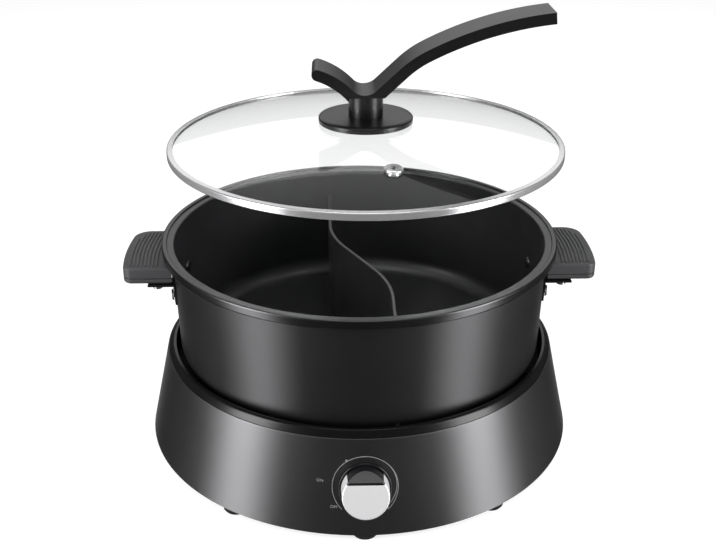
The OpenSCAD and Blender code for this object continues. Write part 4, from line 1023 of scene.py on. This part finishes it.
class HOTPOT_OT_base(bpy.types.Operator):
    """Finish the housing and model the ring round the recess"""
    bl_idname = "hotpot.base"
    bl_label = "Base"

    def execute(self, context):
        sizes, colours = context.scene.hotpot_base, context.scene.hotpot_colours
        dress(satin_housing(colours), "base_shell")
        low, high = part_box("top_ring")
        outer, inner = high.x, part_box("pot_shell")[1].x - sizes.ring_lap
        skirt = inner + sizes.ring_skirt
        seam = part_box("base_shell")[1].z
        step = seam + sizes.ring_collar
        collar = Cone.radius(step)
        ring = shell_of([
            (outer, seam, 0),
            (collar, step, sizes.ring_edge),
            (collar - sizes.ring_step, step + sizes.ring_rise, 0),
            (inner + sizes.ring_crest, high.z - sizes.crest_drop, sizes.crest_shoulder),
            (inner + sizes.crest_top, high.z - sizes.crest_fall, sizes.crest_round),
            (inner, high.z, sizes.crest_round),
            (inner, low.z, 0),
            (skirt, low.z, 0),
            (skirt, seam, 0),
        ], steps=192)
        finishes = [satin_ring(colours), matte_ring_wall(colours), satin_housing(colours)]
        for face in ring.faces:
            middle = face.calc_center_median()
            if middle.xy.length < inner + MM and middle.z < seam:
                face.material_index = 1
            elif middle.xy.length > skirt + MM and middle.z < step:
                face.material_index = 2
        piece("recess_ring", [ring], "base", finishes, ["top_ring"])
        return {"FINISHED"}


class HOTPOT_OT_dial(bpy.types.Operator):
    """Model the knob, its marker and collar, and print the scale"""
    bl_idname = "hotpot.dial"
    bl_label = "Dial"

    # each word's middle in the dial's plane, right of and above its centre
    WORDS = {"ON": (-33 * MM, 4.4 * MM), "OFF": (-23 * MM, -15.5 * MM)}

    def execute(self, context):
        sizes, colours = context.scene.hotpot_base, context.scene.hotpot_colours
        gloss = gloss_black(colours)
        knob, marker = self.blank(sizes), self.blank(sizes)
        self.cut(knob, sizes, sizes.marker_thickness, keep_inner=True)
        self.blacken(knob, sizes)
        self.cut(marker, sizes, 0, keep_inner=True)
        self.cut(marker, sizes, sizes.marker_thickness, keep_inner=False)
        piece("control_knob", [placed(knob, Dial.place)], "dial",
              [turned_silver(colours), gloss], ["dial_knob"])
        piece("knob_marker", [placed(marker, Dial.place)], "dial",
              [gloss], ["dial_pointer"])
        piece("dial_collar", [placed(self.collar(sizes), Dial.place)], "base",
              [gloss], ["dial_bezel"])
        piece("dial_print", self.marks(sizes), "base", [printed_ink(colours)])
        return {"FINISHED"}

    @staticmethod
    def blank(sizes):
        """The knob before its facet is cut."""
        radius, back, front = sizes.knob_radius, sizes.knob_back, sizes.knob_front
        return shell_of([
            (0, back, 0),
            (radius, back, sizes.knob_heel),
            (radius - sizes.knob_taper, front, sizes.knob_round),
            (0, front, 0),
        ], steps=128)

    @staticmethod
    def cut(bm, sizes, depth, keep_inner):
        """Cuts along the facet's plane, moved inwards by depth, and closes the cut."""
        out = Vector((0, sin(sizes.facet_slope), cos(sizes.facet_slope)))
        on_plane = Vector((0, sizes.facet_start, sizes.knob_front)) - out * depth
        bmesh.ops.bisect_plane(
            bm, geom=bm.verts[:] + bm.edges[:] + bm.faces[:], plane_co=on_plane, plane_no=out,
            clear_outer=keep_inner, clear_inner=not keep_inner, dist=FINE_WELD,
        )
        bmesh.ops.holes_fill(bm, edges=[e for e in bm.edges if e.is_boundary])
        bmesh.ops.recalc_face_normals(bm, faces=bm.faces[:])

    @staticmethod
    def blacken(bm, sizes):
        """Gives the knob's shoulder beyond the marker's chord the second finish."""
        bmesh.ops.bisect_plane(
            bm, geom=bm.verts[:] + bm.edges[:] + bm.faces[:],
            plane_co=(0, sizes.facet_start, 0), plane_no=(0, 1, 0),
            clear_outer=False, clear_inner=False, dist=FINE_WELD,
        )
        for face in bm.faces:
            face.material_index = int(face.calc_center_median().y > sizes.facet_start)

    @staticmethod
    def collar(sizes):
        """The collar behind the knob, with the flange that holds it in the housing."""
        back = -sizes.flange_depth
        flange_front = back + sizes.flange_height
        lip = sizes.collar_radius - sizes.collar_lip
        face = sizes.collar_front - sizes.collar_sink
        return shell_of([
            (sizes.collar_bore, back, 0),
            (sizes.flange_radius, back, 0),
            (sizes.flange_radius, flange_front, 0),
            (sizes.collar_radius, flange_front, 0),
            (sizes.collar_radius, sizes.collar_front, sizes.collar_round),
            (lip, sizes.collar_front, 0),
            (lip - sizes.collar_chamfer, face, 0),
            (sizes.collar_bore, face, 0),
        ], steps=96)

    def marks(self, sizes):
        """The printed scale: an arc, a second line that leaves it, a dot and two words."""
        shift = sizes.wedge_width / (1 + sin(sizes.scale_end - sizes.wedge_start - pi / 2))
        apart = shift * Vector((sin(sizes.wedge_start), cos(sizes.wedge_start), 0))
        flat = [
            self.arc(sizes, Vector(), sizes.scale_radius, -sizes.scale_end),
            self.arc(sizes, apart, sizes.scale_radius - shift, sizes.wedge_start),
            self.dot(sizes),
            self.stop(sizes),
        ]
        solid = [thickened(bm, (0, 0, sizes.ink_thickness)) for bm in flat]
        words = [self.word(text, place, sizes) for text, place in self.WORDS.items()]
        return [Dial.printed(bm) for bm in solid + words]

    @staticmethod
    def arc(sizes, centre, radius, start):
        """A flat line from an angle, counted clockwise from the top, to the scale's end."""
        bm = bmesh.new()
        half = sizes.scale_line / 2
        ends = [bm.verts.new(centre + r * Vector((sin(start), cos(start), 0)))
                for r in (radius - half, radius + half)]
        edge = bm.edges.new(ends)
        bmesh.ops.spin(
            bm, geom=[*ends, edge], cent=centre, axis=(0, 0, 1), dvec=(0, 0, 0),
            angle=start - sizes.scale_end, steps=72, use_merge=False, use_duplicate=False,
        )
        return bm

    @staticmethod
    def dot(sizes):
        """The dot that touches the arc from outside."""
        bm = bmesh.new()
        bmesh.ops.create_circle(bm, cap_ends=True, segments=24, radius=sizes.dot_radius)
        reach = sizes.scale_radius + sizes.dot_radius
        place = (sin(sizes.dot_angle) * reach, cos(sizes.dot_angle) * reach, 0)
        return placed(bm, Matrix.Translation(place))

    @staticmethod
    def stop(sizes):
        """The short bar that closes the wedge at the scale's end."""
        bm = bmesh.new()
        bmesh.ops.create_grid(bm, x_segments=2, y_segments=2, size=0.5)
        thick = 2 * sizes.scale_line
        bmesh.ops.scale(bm, vec=(sizes.wedge_width, thick, 1), verts=bm.verts[:])
        reach = sizes.scale_radius - sizes.wedge_width / 2
        turned = Matrix.Rotation(pi / 2 - sizes.scale_end, 4, "Z")
        return placed(bm, turned @ Matrix.Translation((reach, 0, 0)))

    @staticmethod
    def word(text, middle, sizes):
        """A printed word, centred at a point of the dial's plane."""
        curve = bpy.data.curves.new("word", "FONT")
        curve.body = text
        curve.size = sizes.word_height
        curve.align_x, curve.align_y = "CENTER", "CENTER"
        curve.extrude = sizes.ink_thickness / 2
        obj = bpy.data.objects.new("word", curve)
        mesh = bpy.data.meshes.new_from_object(obj)
        bm = bmesh.new()
        bm.from_mesh(mesh)
        bpy.data.meshes.remove(mesh)
        bpy.data.objects.remove(obj)
        bpy.data.curves.remove(curve)
        bmesh.ops.remove_doubles(bm, verts=bm.verts[:], dist=FINE_WELD)
        return placed(bm, Matrix.Translation((*middle, sizes.ink_thickness / 2)))


class HOTPOT_OT_finishes(bpy.types.Operator):
    """Give every remaining piece of the construction its finish"""
    bl_idname = "hotpot.finishes"
    bl_label = "Finishes"

    # the colour of each lead's insulation
    WIRES = {
        "live_lead": (0.16, 0.06, 0.02),
        "neutral_lead": (0.02, 0.07, 0.30),
        "fuse_lead": (0.02, 0.07, 0.30),
        "element_lead": (0.30, 0.02, 0.015),
        "earth_lead": (0.16, 0.30, 0.03),
    }

    def execute(self, context):
        colours = context.scene.hotpot_colours
        for node, tint in self.WIRES.items():
            dress(finish(node, tint, 0.42, tone=0.15, patches=200, grain=(1500, 0.03)), node)
        dress(coated_steel(colours), "left_bracket", "right_bracket", "handle_rivets")
        dress(brushed_band(colours), "vent_grommet", "lid_washer", "lid_screw")
        zinc = finish("zinc", (0.52, 0.53, 0.55), 0.32, metallic=1.0, tone=0.2, patches=160,
                      grain=(2400, 0.02))
        dress(zinc, "handle_screws", "tray_screws", "plate_screws", "shield_screws",
              "cover_screws", "inlet_screws", "thermostat_nut", "thermostat_shaft", "bulb_clip")
        sheet = finish("shield_sheet", (0.48, 0.48, 0.49), 0.38, metallic=1.0, rings=(900, 0.04))
        dress(sheet, "heat_shield")
        # The heat tray's near-black coating also paints the shade that falls in the gap between the
        # pot and the ring.
        coating = finish("tray_coating_as_painted_shade", (0.010, 0.010, 0.0105), 0.6, specular=0.25, tone=0.4,
                         grain=(1600, 0.04), rings=(900, 0.03))
        dress(coating, "heat_tray")
        cast = finish("cast", (0.50, 0.50, 0.51), 0.42, metallic=1.0, tone=0.2,
                      grain=(700, 0.06), rings=(500, 0.06))
        dress(cast, "heating_plate")
        tube = finish("element", (0.16, 0.15, 0.145), 0.45, metallic=1.0, tone=0.4, patches=70)
        dress(tube, "heating_element")
        copper = finish("copper", (0.60, 0.27, 0.14), 0.3, metallic=1.0, tone=0.3, patches=90)
        dress(copper, "capillary", "sensor_bulb")
        brass = finish("brass", (0.66, 0.50, 0.22), 0.3, metallic=1.0, tone=0.2, patches=120)
        dress(brass, "inlet_pins", "handle_insert", "thermostat_bush")
        ceramic = finish("ceramic", (0.74, 0.71, 0.64), 0.55, tone=0.12, patches=120,
                         grain=(1400, 0.05))
        dress(ceramic, "element_bushes", "thermal_fuse", "thermostat_body")
        silicone = finish("silicone", (0.05, 0.05, 0.052), 0.55, specular=0.4,
                          grain=(1200, 0.04))
        dress(silicone, "disc_gasket", "lower_gasket")
        rubber = finish("rubber", colours.rubber, 0.72, specular=0.3, grain=(1500, 0.08))
        dress(rubber, "feet")
        cover = finish("cover", (0.020, 0.020, 0.021), 0.5, specular=0.4, grain=(900, 0.1))
        dress(cover, "bottom_cover")
        inlet = finish("inlet", (0.012, 0.012, 0.013), 0.4, specular=0.45, grain=(1500, 0.05))
        dress(inlet, "inlet_housing")
        return {"FINISHED"}


class HOTPOT_OT_stage(bpy.types.Operator):
    """Set up the floor, the lamps and the camera"""
    bl_idname = "hotpot.stage"
    bl_label = "Stage"

    # name, place, width and height in metres, watts, and the height on the axis that it faces
    LAMPS = [
        ("left_strip", (-0.95, -0.53, 0.50), (0.42, 1.0), 15, 0.50),
        ("right_strip", (0.95, -0.53, 0.50), (0.42, 1.0), 15, 0.50),
        ("back_sheet", (0.0, 1.5, 1.0), (2.2, 0.7), 5, 0.15),
        ("ceiling", (0.0, -0.1, 2.0), (1.1, 1.1), 8, 0.15),
    ]

    def execute(self, context):
        scene = context.scene
        stage = scene.hotpot_stage
        scene.view_settings.view_transform = "Standard"
        self.room(scene, stage)
        self.floor(scene, stage)
        for lamp in self.LAMPS:
            self.lamp(scene, *lamp)
        self.camera(scene, stage)
        return {"FINISHED"}

    @staticmethod
    def camera(scene, stage):
        """The camera that sees the pot as the photograph does."""
        data = bpy.data.cameras.new("photo_view")
        data.lens = stage.lens
        data.sensor_width = 36
        obj = bpy.data.objects.new("photo_view", data)
        scene.collection.objects.link(obj)
        ahead = Vector((sin(stage.camera_turn), cos(stage.camera_turn), 0))
        left = Vector((-ahead.y, ahead.x, 0))
        place = left * stage.camera_aside - ahead * stage.camera_away
        obj.location = (place.x, place.y, stage.camera_height)
        obj.rotation_euler = (pi / 2 - stage.camera_pitch, 0, -stage.camera_turn)
        scene.camera = obj

    @staticmethod
    def lamp(scene, name, place, size, watts, aim_height):
        """A soft lamp that faces the object's axis at a height."""
        data = bpy.data.lights.new(name, "AREA")
        data.shape = "RECTANGLE"
        data.size, data.size_y = size
        data.energy = watts
        obj = bpy.data.objects.new(name, data)
        scene.collection.objects.link(obj)
        aim = Vector((0, 0, aim_height)) - Vector(place)
        obj.location = place
        obj.rotation_euler = aim.to_track_quat("-Z", "Y").to_euler()
        obj.visible_camera = False

    @staticmethod
    def grey(level):
        """A grey as a socket's colour."""
        return (level, level, level, 1)

    @staticmethod
    def backdrop_level(tree, direct, mirrored, other):
        """Brightness for camera and transmission rays, for glossy rays and for all others."""
        path = new_node(tree, "ShaderNodeLightPath")
        glossy = new_node(tree, "ShaderNodeMapRange", {
            "Value": path.outputs["Is Glossy Ray"], "To Min": other, "To Max": mirrored,
        })
        straight = new_node(tree, "ShaderNodeMath", {
            0: path.outputs["Is Camera Ray"], 1: path.outputs["Is Transmission Ray"],
        }, operation="MAXIMUM")
        return new_node(tree, "ShaderNodeMapRange", {
            "Value": straight.outputs[0], "To Min": glossy.outputs[0], "To Max": direct,
        }).outputs[0]

    def room(self, scene, stage):
        """The world: white behind the object, and a soft even light on it."""
        world = bpy.data.worlds.new("white_room")
        world.use_nodes = True
        tree = world.node_tree
        background = tree.nodes["Background"]
        background.inputs["Color"].default_value = self.grey(1)
        level = self.backdrop_level(tree, 1.0, stage.mirror, stage.fill)
        tree.links.new(level, background.inputs["Strength"])
        scene.world = world

    def floor(self, scene, stage):
        """The round white floor."""
        bm = bmesh.new()
        bmesh.ops.create_circle(bm, cap_ends=True, segments=64, radius=stage.floor_size)
        mesh = bpy.data.meshes.new("studio_floor")
        bm.to_mesh(mesh)
        bm.free()
        obj = bpy.data.objects.new("studio_floor", mesh)
        scene.collection.objects.link(obj)
        mesh.materials.append(self.floor_finish(stage))

    def floor_finish(self, stage):
        """Matte paint that glows where it is the background, and mirrors for glossy rays alone."""
        material = bpy.data.materials.new("floor_white")
        material.use_nodes = True
        tree = material.node_tree
        shader = tree.nodes["Principled BSDF"]
        shader.inputs["Base Color"].default_value = self.grey(stage.floor_tone)
        shader.inputs["Roughness"].default_value = 0.9
        shader.inputs["Specular IOR Level"].default_value = 0.1
        glow = new_node(tree, "ShaderNodeEmission", {
            "Color": self.grey(1),
            "Strength": self.backdrop_level(tree, stage.floor_glow, 0.0, 0.0),
        })
        painted = new_node(tree, "ShaderNodeAddShader", {
            0: shader.outputs[0], 1: glow.outputs[0],
        })
        polished = new_node(tree, "ShaderNodeBsdfGlossy", {
            "Color": self.grey(stage.floor_gloss), "Roughness": 0.1,
        })
        path = new_node(tree, "ShaderNodeLightPath")
        mirrored_only = new_node(tree, "ShaderNodeMath", {
            0: path.outputs["Is Glossy Ray"], 1: path.outputs["Is Transmission Ray"],
        }, operation="SUBTRACT", use_clamp=True)
        both = new_node(tree, "ShaderNodeMixShader", {
            0: mirrored_only.outputs[0], 1: painted.outputs[0], 2: polished.outputs[0],
        })
        tree.links.new(both.outputs[0], tree.nodes["Material Output"].inputs["Surface"])
        return material


class HOTPOT_PT_looks(bpy.types.Panel):
    """Sizes, colours and pieces of the hot pot"""
    bl_idname = "HOTPOT_PT_looks"
    bl_label = "Hot pot"
    bl_space_type = "VIEW_3D"
    bl_region_type = "UI"
    bl_category = "Hot pot"

    def draw(self, context):
        for operator in OPERATORS:
            self.layout.operator(operator.bl_idname)
        for name in GROUPS:
            box = self.layout.box()
            group = getattr(context.scene, name)
            for prop in group.bl_rna.properties:
                if prop.identifier not in ("rna_type", "name"):
                    box.prop(group, prop.identifier)


GROUPS = {
    "hotpot_pot": HotPotPot,
    "hotpot_lid": HotPotLid,
    "hotpot_base": HotPotBase,
    "hotpot_colours": HotPotColours,
    "hotpot_stage": HotPotStage,
}
OPERATORS = [
    HOTPOT_OT_pot, HOTPOT_OT_divider, HOTPOT_OT_grips, HOTPOT_OT_lid, HOTPOT_OT_lid_handle,
    HOTPOT_OT_base, HOTPOT_OT_dial, HOTPOT_OT_finishes, HOTPOT_OT_stage,
]
CLASSES = [*GROUPS.values(), *OPERATORS, HOTPOT_PT_looks]


def register():
    for cls in CLASSES:
        bpy.utils.register_class(cls)
    for name, group in GROUPS.items():
        setattr(bpy.types.Scene, name, bpy.props.PointerProperty(type=group))


def unregister():
    for name in GROUPS:
        delattr(bpy.types.Scene, name)
    for cls in reversed(CLASSES):
        bpy.utils.unregister_class(cls)


def main():
    """Makes every piece and the stage."""
    register()
    bpy.ops.hotpot.pot()
    bpy.ops.hotpot.divider()
    bpy.ops.hotpot.grips()
    bpy.ops.hotpot.lid()
    bpy.ops.hotpot.lid_handle()
    bpy.ops.hotpot.base()
    bpy.ops.hotpot.dial()
    bpy.ops.hotpot.finishes()
    bpy.ops.hotpot.stage()


if __name__ == "__main__":
    main()
